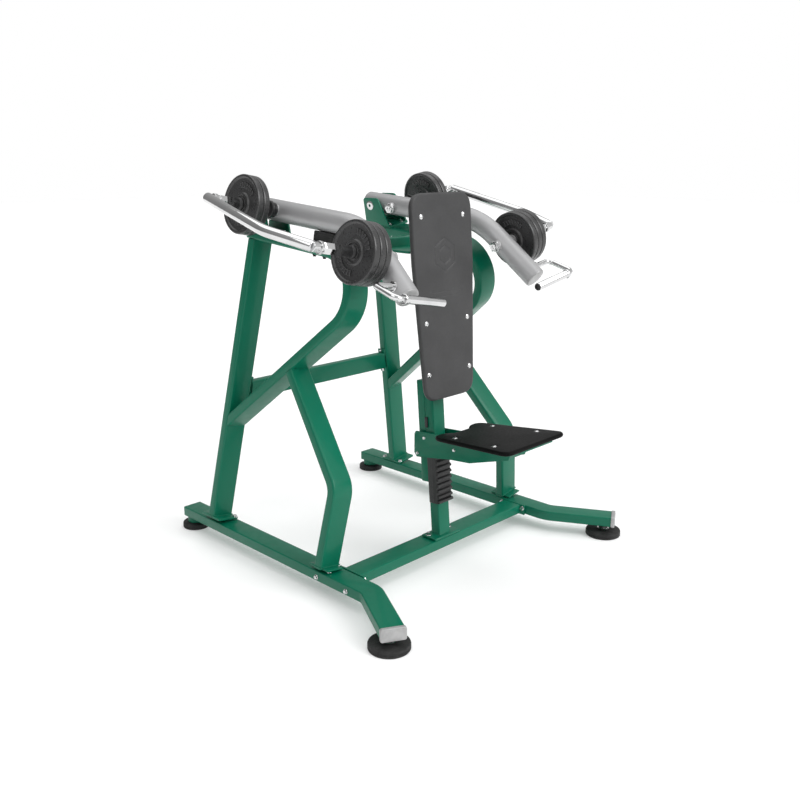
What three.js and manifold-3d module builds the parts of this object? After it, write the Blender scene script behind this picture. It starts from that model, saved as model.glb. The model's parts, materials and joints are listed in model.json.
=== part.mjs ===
// Plate-loaded shoulder press machine: a welded frame, two press arms and a height-adjustable seat.
// Millimetres, +Z up. The user sits facing -Y. The origin lies on the floor under the middle of the machine.
import * as THREE from "three";
import { mergeVertices } from "three/addons/utils/BufferGeometryUtils.js";
import Module from "manifold-3d";

const wasm = await Module();
wasm.setup();

// ---- Driving dimensions ----
const GAP = 0.3; // clearance between pieces that touch
const ORIGIN_SHIFT_Y = -277; // from the front crossbeam's centre line to the middle of the machine

const RAIL = { width: 85, height: 42, bottom: 51, offset: 529, rear: 990, corner: 4 };
const RAIL_BEND = { y: -153, radius: 90 };
const RAIL_FRONT = { x: 667, y: -401 };
const RAIL_TOP = RAIL.bottom + RAIL.height;
const FRONT_FOOT = { x: 648, y: -362 };
const REAR_FOOT_Y = 962;
const END_CAP = { wall: 3, sleeve: 12, front: 5 };

const FRAME_TUBE = { width: 95, depth: 40, corner: 7 };
const SIDE = { lean: THREE.MathUtils.degToRad(10), offset: 537 };
const REAR_POST = { foot: 768, lean: -0.0777, length: 1200 };
const HOOP = { frontRise: 0.088, runFront: [196, 1151], lowRear: [733, 422], lowSlope: -0.811, radius: 145 };
const HOOP_RUN_END = 705;
const FRONT_LEG = { foot: 83, knee: [52, 318], radius: 90, rise: 0.769, run: 0.639 };

const ARM = { radius: 42, pivot: [660, 1299], rear: 716, slope: 0.0838, knee: [91, 1251], radius2: 300 };
const ARM_TIP = { run: -0.758, rise: -0.652, length: 333 };
const SHAFT_RADIUS = 12.5;
const BORE_RADIUS = 13.4;
const REAR_HORN = { y: 546, reach: 326, plates: 2, first: 152 };
const FRONT_HORN = { y: -17, u: 1160, reach: 298, plates: 3, first: 61 };
const PLATE = { radius: 110, thickness: 26.7 };
const GUARD_RADIUS = 19.5;
const GRIP = { rod: 11, radius: 15, out: 138, in: -86 };

const POST = { width: 63, depth: 46, lean: Math.atan(0.0816), y: -7, top: 1160 };
const GUIDE = { depth: 38, bottom: 222, top: 636 };
const RACK = { halfWidth: 42, front: 6, bottom: 143, top: 392, teeth: 7, pitch: 24 };
const BACKREST = { bottom: 578, top: 1345, lowWidth: 270, width: 330, thickness: 22, standoff: 47 };
const SEAT = { rear: -76, top: 554, length: 390, rearWidth: 268, frontWidth: 354, thickness: 18, tilt: 0.0905 };
const CARRIAGE = { inner: 43, outer: 50 };

// ---- Materials ----
const paint = (color, roughness, metalness) => new THREE.MeshStandardMaterial({ color, roughness, metalness });
const GREEN = paint(0x0a6b4a, 0.3, 0.1);
const SILVER = paint(0x9c9c9c, 0.4, 0.3);
const CHROME = paint(0xd8dadb, 0.12, 1);
const RUBBER = paint(0x1b1b1c, 0.8, 0);
const PLASTIC = paint(0x232425, 0.5, 0);
const IRON = paint(0x3c3c3e, 0.55, 0.4);
const BACK_VINYL = paint(0x4c4c4d, 0.45, 0);
const SEAT_VINYL = paint(0x202021, 0.3, 0);

// ---- Solids ----
function solidOf(geometry) {
  const bare = geometry.clone();
  bare.deleteAttribute("normal");
  bare.deleteAttribute("uv");
  const merged = mergeVertices(bare, 1e-4);
  const triVerts = new Uint32Array(merged.index.array);
  return new wasm.Manifold(
    new wasm.Mesh({ numProp: 3, vertProperties: merged.attributes.position.array, triVerts }),
  );
}

function geometryOf(solid) {
  const mesh = solid.getMesh();
  return new THREE.BufferGeometry()
    .setAttribute("position", new THREE.BufferAttribute(new Float32Array(mesh.vertProperties), 3))
    .setIndex(new THREE.BufferAttribute(new Uint32Array(mesh.triVerts), 1))
    .toNonIndexed();
}

const join = (...geometries) => geometryOf(geometries.map(solidOf).reduce((a, b) => a.add(b)));
const cut = (body, ...tools) => geometryOf(tools.map(solidOf).reduce((a, b) => a.subtract(b), solidOf(body)));

// Keeps what lies on the side of a plane that its normal points to.
function trim(geometry, point, normal) {
  const n = normal.clone().normalize();
  return geometryOf(solidOf(geometry).trimByPlane(n.toArray(), n.dot(point)));
}

function roundedSection(width, height, corner) {
  const [x, y, r] = [width / 2, height / 2, corner];
  const shape = new THREE.Shape();
  shape.moveTo(-x + r, -y);
  shape.absarc(x - r, -y + r, r, -Math.PI / 2, 0);
  shape.absarc(x - r, y - r, r, 0, Math.PI / 2);
  shape.absarc(-x + r, y - r, r, Math.PI / 2, Math.PI);
  shape.absarc(-x + r, -y + r, r, Math.PI, Math.PI * 1.5);
  return shape;
}

function roundSection(radius) {
  return new THREE.Shape().absarc(0, 0, radius, 0, Math.PI * 2);
}

// A chain of straight stretches with one station at each given point.
// The section's x axis stays along the across vector.
class Route extends THREE.Curve {
  constructor(stations, across) {
    super();
    this.stations = stations;
    this.across = across;
  }
  getUtoTmapping(u) {
    return u;
  }
  getPoint(t) {
    const place = t * (this.stations.length - 1);
    const i = Math.min(Math.floor(place), this.stations.length - 2);
    return this.stations[i].clone().lerp(this.stations[i + 1], place - i);
  }
  computeFrenetFrames(segments) {
    const frames = { tangents: [], normals: [], binormals: [] };
    for (let i = 0; i <= segments; i++) {
      const tangent = new THREE.Vector3();
      if (i > 0) tangent.add(this.stations[i].clone().sub(this.stations[i - 1]).normalize());
      if (i < segments) tangent.add(this.stations[i + 1].clone().sub(this.stations[i]).normalize());
      tangent.normalize();
      const binormal = tangent.clone().cross(this.across).normalize();
      frames.tangents.push(tangent);
      frames.binormals.push(binormal);
      frames.normals.push(binormal.clone().cross(tangent));
    }
    return frames;
  }
}

// The corner points with each inner corner rounded to its radius, in steps of about stepAngle.
function roundedRoute(corners, radii, stepAngle = Math.PI / 12) {
  const stations = [corners[0]];
  for (let i = 1; i < corners.length - 1; i++) {
    const arrive = corners[i].clone().sub(corners[i - 1]).normalize();
    const leave = corners[i + 1].clone().sub(corners[i]).normalize();
    const turn = arrive.angleTo(leave);
    const axis = arrive.clone().cross(leave).normalize();
    const inward = axis.clone().cross(arrive);
    const start = corners[i].clone().addScaledVector(arrive, -radii[i - 1] * Math.tan(turn / 2));
    const centre = start.clone().addScaledVector(inward, radii[i - 1]);
    const steps = Math.ceil(turn / stepAngle);
    for (let k = 0; k <= steps; k++) {
      const arm = start.clone().sub(centre).applyAxisAngle(axis, (turn * k) / steps);
      stations.push(centre.clone().add(arm));
    }
  }
  stations.push(corners[corners.length - 1]);
  return stations;
}

function sweep(stations, section, across, curveSegments) {
  return new THREE.ExtrudeGeometry(section, {
    extrudePath: new Route(stations, across),
    steps: stations.length - 1,
    curveSegments,
  });
}

// A flat outline in a plane across X, given as [y, z] points, extruded from x0 to x1.
function plateAcrossX(outline, x0, x1) {
  const shape = new THREE.Shape(outline.map(([y, z]) => new THREE.Vector2(y, z)));
  const geometry = new THREE.ExtrudeGeometry(shape, { depth: x1 - x0, bevelEnabled: false });
  return geometry
    .applyMatrix4(new THREE.Matrix4().set(0, 0, 1, x0, 1, 0, 0, 0, 0, 1, 0, 0, 0, 0, 0, 1));
}

// A profile of [radius, distance] points turned about the X axis.
function turnedAboutX(profile, segments = 12) {
  const points = profile.map(([r, x]) => new THREE.Vector2(r, x));
  return new THREE.LatheGeometry(points, segments).rotateZ(-Math.PI / 2);
}

function turnedAboutZ(profile, segments = 16) {
  const points = profile.map(([r, z]) => new THREE.Vector2(r, z));
  return new THREE.LatheGeometry(points, segments).rotateX(Math.PI / 2);
}

function block(x0, x1, y0, y1, z0, z1) {
  return new THREE.BoxGeometry(x1 - x0, y1 - y0, z1 - z0)
    .translate((x0 + x1) / 2, (y0 + y1) / 2, (z0 + z1) / 2);
}

function add(parent, name, geometry, material) {
  const mesh = new THREE.Mesh(geometry, material);
  mesh.name = name;
  parent.add(mesh);
}

const ACROSS = new THREE.Vector3(1, 0, 0);
const UP = new THREE.Vector3(0, 0, 1);
const inPlane = (y, u) => new THREE.Vector3(0, y, u);
const tubeSection = () => roundedSection(FRAME_TUBE.width, FRAME_TUBE.depth, FRAME_TUBE.corner);

// ---- Lines in the leaning side plane: y runs back, u runs up the plane from the rail's top ----
const hoopRunAt = (y) => HOOP.runFront[1] + HOOP.frontRise * (y - HOOP.runFront[0]);
const hoopLowAt = (y) => HOOP.lowRear[1] + HOOP.lowSlope * (y - HOOP.lowRear[0]);
const hoopTopAt = (y) => hoopRunAt(y) + FRAME_TUBE.depth / 2 + GAP;
const rearPostAt = (u) => REAR_POST.foot + REAR_POST.lean * u;
const armAt = (y) => ARM.pivot[1] + ARM.slope * (y - ARM.pivot[0]);

// ---- Base ----
function railStations() {
  return roundedRoute(
    [
      new THREE.Vector3(RAIL.offset, RAIL.rear, RAIL.bottom + RAIL.height / 2),
      new THREE.Vector3(RAIL.offset, RAIL_BEND.y, RAIL.bottom + RAIL.height / 2),
      new THREE.Vector3(RAIL_FRONT.x, RAIL_FRONT.y, RAIL.bottom + RAIL.height / 2),
    ],
    [RAIL_BEND.radius],
    Math.PI / 18,
  );
}

// The floor rail, with the short post that its rear foot is screwed to.
function baseRail() {
  const section = roundedSection(RAIL.height, RAIL.width, RAIL.corner);
  const spacer = turnedAboutZ([[0, 24 + GAP], [36, 24 + GAP], [36, RAIL.bottom + 4], [0, RAIL.bottom + 4]]);
  return join(sweep(railStations(), section, UP, 2), spacer.translate(RAIL.offset, REAR_FOOT_Y, 0));
}

// A moulded cap that sleeves over the rail's front end, at right angles to its splayed stretch.
function railEndCap() {
  const heading = Math.atan2(RAIL_FRONT.y - RAIL_BEND.y, RAIL_FRONT.x - RAIL.offset);
  const { wall, sleeve, front } = END_CAP;
  const outside = new THREE.ExtrudeGeometry(
    roundedSection(RAIL.width + 2 * wall, RAIL.height + 2 * wall, RAIL.corner + wall),
    { depth: sleeve + front, bevelThickness: 2, bevelSize: 2, bevelOffset: -2, bevelSegments: 1, curveSegments: 2 },
  );
  const socket = new THREE.ExtrudeGeometry(
    roundedSection(RAIL.width + 2 * GAP, RAIL.height + 2 * GAP, RAIL.corner),
    { depth: sleeve + 20 + GAP, bevelEnabled: false, curveSegments: 2 },
  );
  return cut(outside.translate(0, 0, -sleeve), socket.translate(0, 0, -sleeve - 20))
    .rotateX(Math.PI / 2)
    .rotateZ(Math.PI / 2 + heading)
    .translate(RAIL_FRONT.x, RAIL_FRONT.y, RAIL.bottom + RAIL.height / 2);
}

function frontFoot() {
  const top = RAIL.bottom - GAP;
  return turnedAboutZ([[0, 0], [73, 0], [73, 18], [66, 23], [14, 25], [14, top], [0, top]]);
}

function rearFoot() {
  return turnedAboutZ([[0, 0], [58, 0], [58, 20], [54, 24], [0, 24]]);
}

function frontCrossbeam() {
  const half = RAIL.offset - RAIL.width / 2 - GAP;
  const ends = [new THREE.Vector3(-half, 0, RAIL.bottom + RAIL.height / 2)];
  ends.push(new THREE.Vector3(half, 0, ends[0].z));
  const beam = sweep(ends, roundedSection(RAIL.height - 1, 89, RAIL.corner), UP, 2);
  const flange = (x) => block(x, x + 8, -66, 66, RAIL.bottom - 2, RAIL_TOP + 2);
  return join(beam, flange(-half), flange(half - 8));
}

// ---- Side frames, in the leaning plane ----
function rearPost() {
  const stations = [inPlane(rearPostAt(14), 14), inPlane(rearPostAt(REAR_POST.length), REAR_POST.length)];
  const tube = sweep(stations, tubeSection(), ACROSS, 2);
  const half = FRAME_TUBE.width / 2;
  const floor = Math.tan(SIDE.lean) * half + 1;
  const foot = REAR_POST.foot;
  const runUnderside = inPlane(0, hoopRunAt(0) - FRAME_TUBE.depth / 2 - GAP);
  const trimmed = trim(tube, runUnderside, inPlane(HOOP.frontRise, -1));
  const flange = block(-half, half, foot - 62, foot + 62, floor, floor + 10);
  return join(trimmed, flange);
}

function hoop() {
  const kneeY =
    (hoopLowAt(0) - hoopRunAt(0)) / (HOOP.frontRise - HOOP.lowSlope);
  const knee = inPlane(kneeY, hoopRunAt(kneeY));
  const lowEnd = rearPostAt(400);
  const corners = [inPlane(HOOP_RUN_END, hoopRunAt(HOOP_RUN_END)), knee, inPlane(lowEnd, hoopLowAt(lowEnd))];
  const tube = sweep(roundedRoute(corners, [HOOP.radius]), tubeSection(), ACROSS, 1);
  const postFront = inPlane(REAR_POST.foot - FRAME_TUBE.depth / 2 - GAP, 0);
  const withoutPost = solidOf(trim(tube, postFront, inPlane(-1, REAR_POST.lean)));
  const runOnly = solidOf(trim(tube, inPlane(0, hoopRunAt(0) - FRAME_TUBE.depth), inPlane(-HOOP.frontRise, 1)));
  return geometryOf(withoutPost.add(runOnly));
}

function frontLeg() {
  const [kneeY, kneeU] = FRONT_LEG.knee;
  const along = inPlane(FRONT_LEG.run, FRONT_LEG.rise);
  const knee = inPlane(kneeY, kneeU);
  const top = knee.clone().addScaledVector(along, 640);
  const stations = roundedRoute([inPlane(FRONT_LEG.foot, 0), knee, top], [FRONT_LEG.radius]);
  const tube = sweep(stations, tubeSection(), ACROSS, 2);
  const railTop = inPlane(0, Math.tan(SIDE.lean) * (FRAME_TUBE.width / 2) + 1);
  const underRun = inPlane(0, hoopLowAt(0) - (FRAME_TUBE.depth / 2 + GAP) * Math.hypot(1, HOOP.lowSlope));
  return trim(trim(tube, railTop, UP), underRun, inPlane(HOOP.lowSlope, -1));
}

// ---- Crossbeams, cut to the leaning inner faces of the side frames ----
function crossbeam(y, z, depth, height, flangeHeight) {
  const reach = new THREE.Vector3(600, y, z);
  const stations = [reach.clone().setX(-600), reach];
  const faceAt = (side) => {
    const outward = new THREE.Vector3(side * Math.cos(SIDE.lean), 0, Math.sin(SIDE.lean));
    const base = new THREE.Vector3(side * SIDE.offset, 0, RAIL_TOP);
    return { point: base.addScaledVector(outward, -FRAME_TUBE.width / 2 - GAP), normal: outward.negate() };
  };
  const trimEnds = (geometry) =>
    [-1, 1].reduce((g, side) => trim(g, faceAt(side).point, faceAt(side).normal), geometry);
  const beam = trimEnds(sweep(stations, roundedSection(height, depth, 6), UP, 3));
  if (!flangeHeight) return beam;
  const wide = trimEnds(block(-600, 600, y - depth / 2, y + depth / 2, z - flangeHeight / 2, z + flangeHeight / 2));
  const inside = [-1, 1].reduce(
    (g, side) => trim(g, faceAt(side).point.addScaledVector(faceAt(side).normal, 8), faceAt(side).normal),
    wide,
  );
  return geometryOf(solidOf(beam).add(solidOf(wide).subtract(solidOf(inside))));
}

// ---- Press arm pieces, in the leaning plane with x pointing outward ----
function pivotBracket() {
  const [y, u] = ARM.pivot;
  const cheek = [[700, hoopTopAt(700)], [700, u + 24], [690, u + 32], [620, u + 32], [600, u + 20], [556, hoopTopAt(556)]];
  const base = [[700, hoopTopAt(700)], [700, hoopTopAt(700) + 9], [556, hoopTopAt(556) + 9], [556, hoopTopAt(556)]];
  const shell = join(
    plateAcrossX(cheek, 50, 58),
    plateAcrossX(cheek, -58, -50),
    plateAcrossX(base, -58, 58),
  );
  const bore = turnedAboutX([[0, -70], [BORE_RADIUS, -70], [BORE_RADIUS, 70], [0, 70]]).translate(0, y, u);
  return cut(shell, bore);
}

function pivotShaft() {
  const [y, u] = ARM.pivot;
  const head = 62;
  const r = SHAFT_RADIUS;
  const face = 58 + GAP;
  const profile = [[0, -head], [20, -head], [20, -face], [r, -face], [r, face], [20, face], [20, head], [0, head]];
  return turnedAboutX(profile).translate(0, y, u);
}

function armTube() {
  const [kneeY, kneeU] = ARM.knee;
  const knee = inPlane(kneeY, kneeU);
  const along = inPlane(ARM_TIP.run, ARM_TIP.rise);
  const corners = [inPlane(ARM.rear, armAt(ARM.rear)), knee, knee.clone().addScaledVector(along, ARM_TIP.length)];
  const stations = roundedRoute(corners, [ARM.radius2], Math.PI / 20);
  const tube = sweep(stations, roundSection(ARM.radius), ACROSS, 8);
  const sleeve = (y, u, r, half) => turnedAboutX([[0, -half], [r, -half], [r, half], [0, half]]).translate(0, y, u);
  const [pivotY, pivotU] = ARM.pivot;
  const body = join(
    tube,
    sleeve(pivotY, pivotU, 24, 49),
    sleeve(REAR_HORN.y, armAt(REAR_HORN.y), 22, 46),
    sleeve(FRONT_HORN.y, FRONT_HORN.u, 22, 46),
  );
  return cut(
    body,
    sleeve(pivotY, pivotU, BORE_RADIUS, 60),
    sleeve(REAR_HORN.y, armAt(REAR_HORN.y), BORE_RADIUS, 60),
    sleeve(FRONT_HORN.y, FRONT_HORN.u, BORE_RADIUS, 60),
    sleeve(handleRoot().y, handleRoot().z, GRIP.rod + 0.9, 60).translate(50, 0, 0),
  );
}

function armEndCap() {
  const disc = turnedAboutX([[0, 0], [ARM.radius - 1, 0], [ARM.radius - 1, 3], [ARM.radius - 4, 6], [0, 6]], 14);
  const [kneeY, kneeU] = ARM.knee;
  const end = inPlane(kneeY + ARM_TIP.run * (ARM_TIP.length + GAP), kneeU + ARM_TIP.rise * (ARM_TIP.length + GAP));
  const turn = new THREE.Quaternion().setFromUnitVectors(ACROSS, inPlane(ARM_TIP.run, ARM_TIP.rise).normalize());
  return disc.applyQuaternion(turn).translate(end.x, end.y, end.z);
}

// A steel shaft through the arm, held by a nut inside and a flange outside.
function weightHorn(reach, flangeWidth, flangeRadius) {
  const face = 46 + GAP;
  const r = SHAFT_RADIUS;
  return turnedAboutX([
    [0, -66], [22, -66], [22, -face], [r, -face], [r, face], [flangeRadius, face], [flangeRadius, face + flangeWidth],
    [r, face + flangeWidth], [r, reach], [0, reach],
  ]);
}

function weightPlate(start) {
  const [r, t] = [PLATE.radius, PLATE.thickness - GAP];
  return turnedAboutX([
    [BORE_RADIUS, 0], [r, 0], [r, t], [BORE_RADIUS, t], [BORE_RADIUS, 0],
  ], 18).translate(start, 0, 0);
}

function hornHub(start, end) {
  return turnedAboutX([
    [BORE_RADIUS, start], [30, start], [30, start + 8], [19, start + 12], [19, end], [BORE_RADIUS, end],
    [BORE_RADIUS, start],
  ]);
}

const hubStart = (horn) => horn.first + horn.plates * PLATE.thickness;
const HUB_LENGTH = { rear: 40, front: 60 };
const rearHornAt = () => inPlane(REAR_HORN.y, armAt(REAR_HORN.y));
const frontHornAt = () => inPlane(FRONT_HORN.y, FRONT_HORN.u);

// A chrome tube from horn to horn, with a sleeve over each horn's end.
function guardBar() {
  const rear = rearHornAt();
  const front = frontHornAt();
  const stations = roundedRoute(
    [
      new THREE.Vector3(352, rear.y - 6, rear.z + 2),
      new THREE.Vector3(376, 158, 1192),
      new THREE.Vector3(314, front.y - 4, front.z),
    ],
    [160],
  );
  const tube = sweep(stations, roundSection(GUARD_RADIUS), UP, 6);
  const sleeve = (start, end) => turnedAboutX([
    [0, start], [19, start], [19, end - 40], [22, end - 40], [22, end - 28], [17, end - 28], [17, end], [0, end],
  ]);
  const hole = (start, reach) => turnedAboutX([
    [0, start - 5], [BORE_RADIUS, start - 5], [BORE_RADIUS, reach + 1], [0, reach + 1],
  ]);
  const rearStart = hubStart(REAR_HORN) + HUB_LENGTH.rear + GAP;
  const frontStart = hubStart(FRONT_HORN) + HUB_LENGTH.front + GAP;
  const body = join(
    tube,
    sleeve(rearStart, 352).translate(0, rear.y, rear.z),
    sleeve(frontStart, 318).translate(0, front.y, front.z),
  );
  return cut(
    body,
    hole(rearStart, REAR_HORN.reach).translate(0, rear.y, rear.z),
    hole(frontStart, FRONT_HORN.reach).translate(0, front.y, front.z),
  );
}

function handleRoot() {
  return inPlane(-131, 1064);
}

const gripEnd = () => new THREE.Vector3(GRIP.out, -242, 1030);

function handleRod() {
  const root = handleRoot();
  const stations = roundedRoute(
    [root.clone().setX(22), root.clone().setX(GRIP.out), gripEnd(), gripEnd().setX(GRIP.in)],
    [26, 24],
    Math.PI / 8,
  );
  return sweep(stations, roundSection(GRIP.rod), inPlane(0.6, 1).normalize(), 5);
}

// A sleeve that turns on the rod, between a collar and a domed end.
function handleGrip() {
  const [r, inner] = [GRIP.radius, GRIP.rod + GAP + 0.2];
  const [start, end] = [GRIP.in - 12, GRIP.out - 34];
  const { y, z } = gripEnd();
  return turnedAboutX([
    [0, start], [12, start], [r, start + 6], [r, end - 11], [18, end - 11], [18, end], [inner, end],
    [inner, GRIP.in - GAP], [0, GRIP.in - GAP],
  ], 14).translate(0, y, z);
}

function restBumper() {
  const armUnderside = (y) => armAt(y) - ARM.radius * Math.hypot(1, ARM.slope) - GAP;
  const outline = [[212, hoopTopAt(212)], [325, hoopTopAt(325)], [325, armUnderside(325)], [212, armUnderside(212)]];
  return plateAcrossX(outline, -27, 27);
}

// ---- Seat post and backrest, in the leaning post's frame ----
function postFrame(geometry) {
  return geometry.rotateX(-POST.lean).translate(0, POST.y, RAIL_TOP);
}

const postBox = (x, y0, y1, z0, z1) => postFrame(block(-x, x, y0, y1, z0, z1));

function seatPost() {
  const x = POST.width / 2;
  const tube = postFrame(block(-x, x, -POST.depth / 2, POST.depth / 2, -10, POST.top));
  const trimmed = trim(tube, new THREE.Vector3(0, 0, RAIL_TOP + 1), UP);
  const flange = block(-74, 74, POST.y - 38, POST.y + 38, RAIL_TOP + GAP, RAIL_TOP + 10);
  return join(trimmed, flange);
}

function seatGuide() {
  const back = POST.depth / 2 + GAP;
  return postBox(POST.width / 2, back, back + GUIDE.depth, GUIDE.bottom, GUIDE.top);
}

// A plastic channel round the post's front, with sloping teeth that hold the seat at each height.
function heightRack() {
  const front = -POST.depth / 2 - GAP;
  const inner = POST.width / 2 + GAP;
  const teeth = [];
  for (let i = 0; i < RACK.teeth; i++) {
    const z = RACK.bottom + 14 + i * RACK.pitch;
    const y = front - RACK.front;
    teeth.push(postFrame(plateAcrossX([[y + 1, z], [y - 7, z + 3], [y - 7, z + 9], [y + 1, z + 17]], -33, 33)));
  }
  return join(
    postBox(RACK.halfWidth, front - RACK.front, front, RACK.bottom, RACK.top),
    postFrame(block(-RACK.halfWidth, -inner, front - 1, 15, RACK.bottom, RACK.top)),
    postFrame(block(inner, RACK.halfWidth, front - 1, 15, RACK.bottom, RACK.top)),
    postFrame(block(-RACK.halfWidth, RACK.halfWidth, front - RACK.front - 11, front - 1, RACK.bottom, RACK.bottom + 9)),
    ...teeth,
  );
}

function padBracket(z) {
  const front = -POST.depth / 2 - GAP;
  return postBox(110, front - BACKREST.standoff, front - BACKREST.standoff + 6, z - 30, z + 30);
}

function padStandoff(z) {
  const front = -POST.depth / 2 - GAP;
  return postBox(30, front - BACKREST.standoff, front, z - 30, z + 30);
}

function backrestPad() {
  const { bottom, top, lowWidth, width, thickness } = BACKREST;
  const shape = new THREE.Shape();
  const [low, wide, r] = [lowWidth / 2, width / 2, 62];
  shape.moveTo(-low + 55, bottom);
  shape.lineTo(low - 55, bottom);
  shape.quadraticCurveTo(low, bottom, low + 4, bottom + 60);
  shape.lineTo(wide, top - 250);
  shape.lineTo(wide, top - r);
  shape.quadraticCurveTo(wide, top, wide - r, top);
  shape.lineTo(-wide + r, top);
  shape.quadraticCurveTo(-wide, top, -wide, top - r);
  shape.lineTo(-wide, top - 250);
  shape.lineTo(-low - 4, bottom + 60);
  shape.quadraticCurveTo(-low, bottom, -low + 55, bottom);
  const slab = new THREE.ExtrudeGeometry(shape, {
    depth: thickness - 8,
    bevelThickness: 4,
    bevelSize: 4,
    bevelOffset: -4,
    bevelSegments: 1,
    curveSegments: 5,
  });
  const back = -POST.depth / 2 - 2 * GAP - BACKREST.standoff;
  return postFrame(slab.rotateX(Math.PI / 2).translate(0, back - 4, 0));
}

// ---- Seat ----
function seatFrame(geometry) {
  return geometry.rotateX(-Math.atan(SEAT.tilt)).translate(0, SEAT.rear, SEAT.top);
}

function seatPad() {
  const { length, rearWidth, frontWidth, thickness } = SEAT;
  const [rear, front] = [rearWidth / 2, frontWidth / 2];
  const shape = new THREE.Shape();
  shape.moveTo(-front + 40, -length);
  shape.lineTo(front - 40, -length);
  shape.quadraticCurveTo(front, -length, front - 2, -length + 40);
  shape.lineTo(rear + 6, -40);
  shape.quadraticCurveTo(rear, 0, rear - 30, 0);
  shape.quadraticCurveTo(62, 0, 50, -32);
  shape.lineTo(-50, -32);
  shape.quadraticCurveTo(-62, 0, -rear + 30, 0);
  shape.quadraticCurveTo(-rear, 0, -rear - 6, -40);
  shape.lineTo(-front + 2, -length + 40);
  shape.quadraticCurveTo(-front, -length, -front + 40, -length);
  const slab = new THREE.ExtrudeGeometry(shape, {
    depth: thickness - 8,
    bevelThickness: 4,
    bevelSize: 4,
    bevelOffset: -4,
    bevelSegments: 1,
    curveSegments: 5,
  });
  return seatFrame(slab.translate(0, 0, 4 - thickness));
}

const seatUnderside = (y) => SEAT.top - SEAT.thickness - 1 - (y - SEAT.rear) * SEAT.tilt;

function seatSupport() {
  const under = -SEAT.thickness - GAP;
  return seatFrame(block(-96, 96, -SEAT.length + 8, -70, under - 6, under));
}

// Two side plates that clasp the post, tied behind the guide tube and in front of the rack.
function seatCarriage() {
  const top = (y) => seatUnderside(y) - 3;
  const outline = [
    [84, 414], [97, 430], [97, 508], [90, 519], [30, 524], [-100, top(-100)], [-390, top(-390)], [-372, 508],
    [-190, 452], [-85, 442], [31, 422],
  ];
  const { inner, outer } = CARRIAGE;
  const rearTie = postBox(inner + 1, 63, 68, 345, 408);
  const frontTie = block(-inner - 1, inner + 1, -78, -70, 452, 520);
  const tip = block(-inner - 1, inner + 1, -374, -366, 512, top(-374) + 1);
  return join(plateAcrossX(outline, -outer, -inner), plateAcrossX(outline, inner, outer), rearTie, frontTie, tip);
}

function ratchetPin() {
  const half = CARRIAGE.inner - GAP;
  return turnedAboutX([[0, -half], [6, -half], [6, half], [0, half]]).translate(0, -48, 462);
}

// ---- Assembly ----
const machine = new THREE.Group();
machine.name = "shoulder_press_machine";
const base = new THREE.Group();
base.position.y = ORIGIN_SHIFT_Y;
machine.add(base);

for (const [word, side] of [["left", -1], ["right", 1]]) {
  const ground = new THREE.Group();
  ground.scale.x = side;
  base.add(ground);
  add(ground, `${word}_base_rail`, baseRail(), GREEN);
  add(ground, `${word}_rail_end_cap`, railEndCap(), SILVER);
  add(ground, `${word}_front_foot`, frontFoot().translate(FRONT_FOOT.x, FRONT_FOOT.y, 0), RUBBER);
  add(ground, `${word}_rear_foot`, rearFoot().translate(RAIL.offset, REAR_FOOT_Y, 0), RUBBER);

  const leaning = new THREE.Group();
  leaning.position.set(side * SIDE.offset, 0, RAIL_TOP);
  leaning.rotation.y = -side * SIDE.lean;
  leaning.scale.x = side;
  base.add(leaning);
  add(leaning, `${word}_rear_post`, rearPost(), GREEN);
  add(leaning, `${word}_hoop_tube`, hoop(), GREEN);
  add(leaning, `${word}_front_leg`, frontLeg(), GREEN);
  add(leaning, `${word}_pivot_bracket`, pivotBracket(), GREEN);
  add(leaning, `${word}_pivot_shaft`, pivotShaft(), CHROME);
  add(leaning, `${word}_rest_bumper`, restBumper(), RUBBER);

  add(leaning, `${word}_arm_tube`, armTube(), SILVER);
  add(leaning, `${word}_arm_end_cap`, armEndCap(), SILVER);
  const rear = rearHornAt();
  const front = frontHornAt();
  const rearHub = hubStart(REAR_HORN);
  const frontHub = hubStart(FRONT_HORN);
  add(leaning, `${word}_rear_horn`, weightHorn(REAR_HORN.reach, 34, 33).translate(0, rear.y, rear.z), CHROME);
  add(leaning, `${word}_front_horn`, weightHorn(FRONT_HORN.reach, 12, 22).translate(0, front.y, front.z), CHROME);
  for (const [place, horn, at] of [["rear", REAR_HORN, rear], ["front", FRONT_HORN, front]]) {
    for (let i = 0; i < horn.plates; i++) {
      const plate = weightPlate(horn.first + i * PLATE.thickness).translate(0, at.y, at.z);
      add(leaning, `${word}_${place}_plate_${i + 1}`, plate, IRON);
    }
  }
  add(leaning, `${word}_rear_hub`, hornHub(rearHub, rearHub + HUB_LENGTH.rear).translate(0, rear.y, rear.z), PLASTIC);
  add(leaning, `${word}_front_hub`, hornHub(frontHub, frontHub + HUB_LENGTH.front).translate(0, front.y, front.z), PLASTIC);
  add(leaning, `${word}_guard_bar`, guardBar(), CHROME);
  add(leaning, `${word}_handle_rod`, handleRod(), CHROME);
  add(leaning, `${word}_handle_grip`, handleGrip(), CHROME);
}

add(base, "front_crossbeam", frontCrossbeam(), GREEN);
add(base, "rear_crossbeam", crossbeam(724, 637, 40, 74, 112), GREEN);
add(base, "upper_crossbeam", join(crossbeam(287, 1235, 50, 54, 0), block(-70, 70, 110, 264, 1215, 1224)), GREEN);
add(base, "seat_post", seatPost(), GREEN);
add(base, "seat_guide", seatGuide(), GREEN);
add(base, "height_rack", heightRack(), PLASTIC);
add(base, "lower_pad_bracket", join(padBracket(720), padStandoff(720)), GREEN);
add(base, "upper_pad_bracket", join(padBracket(1120), padStandoff(1120)), GREEN);
add(base, "backrest_pad", backrestPad(), BACK_VINYL);
add(base, "seat_pad", seatPad(), SEAT_VINYL);
add(base, "seat_carriage", join(seatCarriage(), seatSupport()), GREEN);
add(base, "ratchet_pin", ratchetPin(), CHROME);

export default machine;
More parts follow.
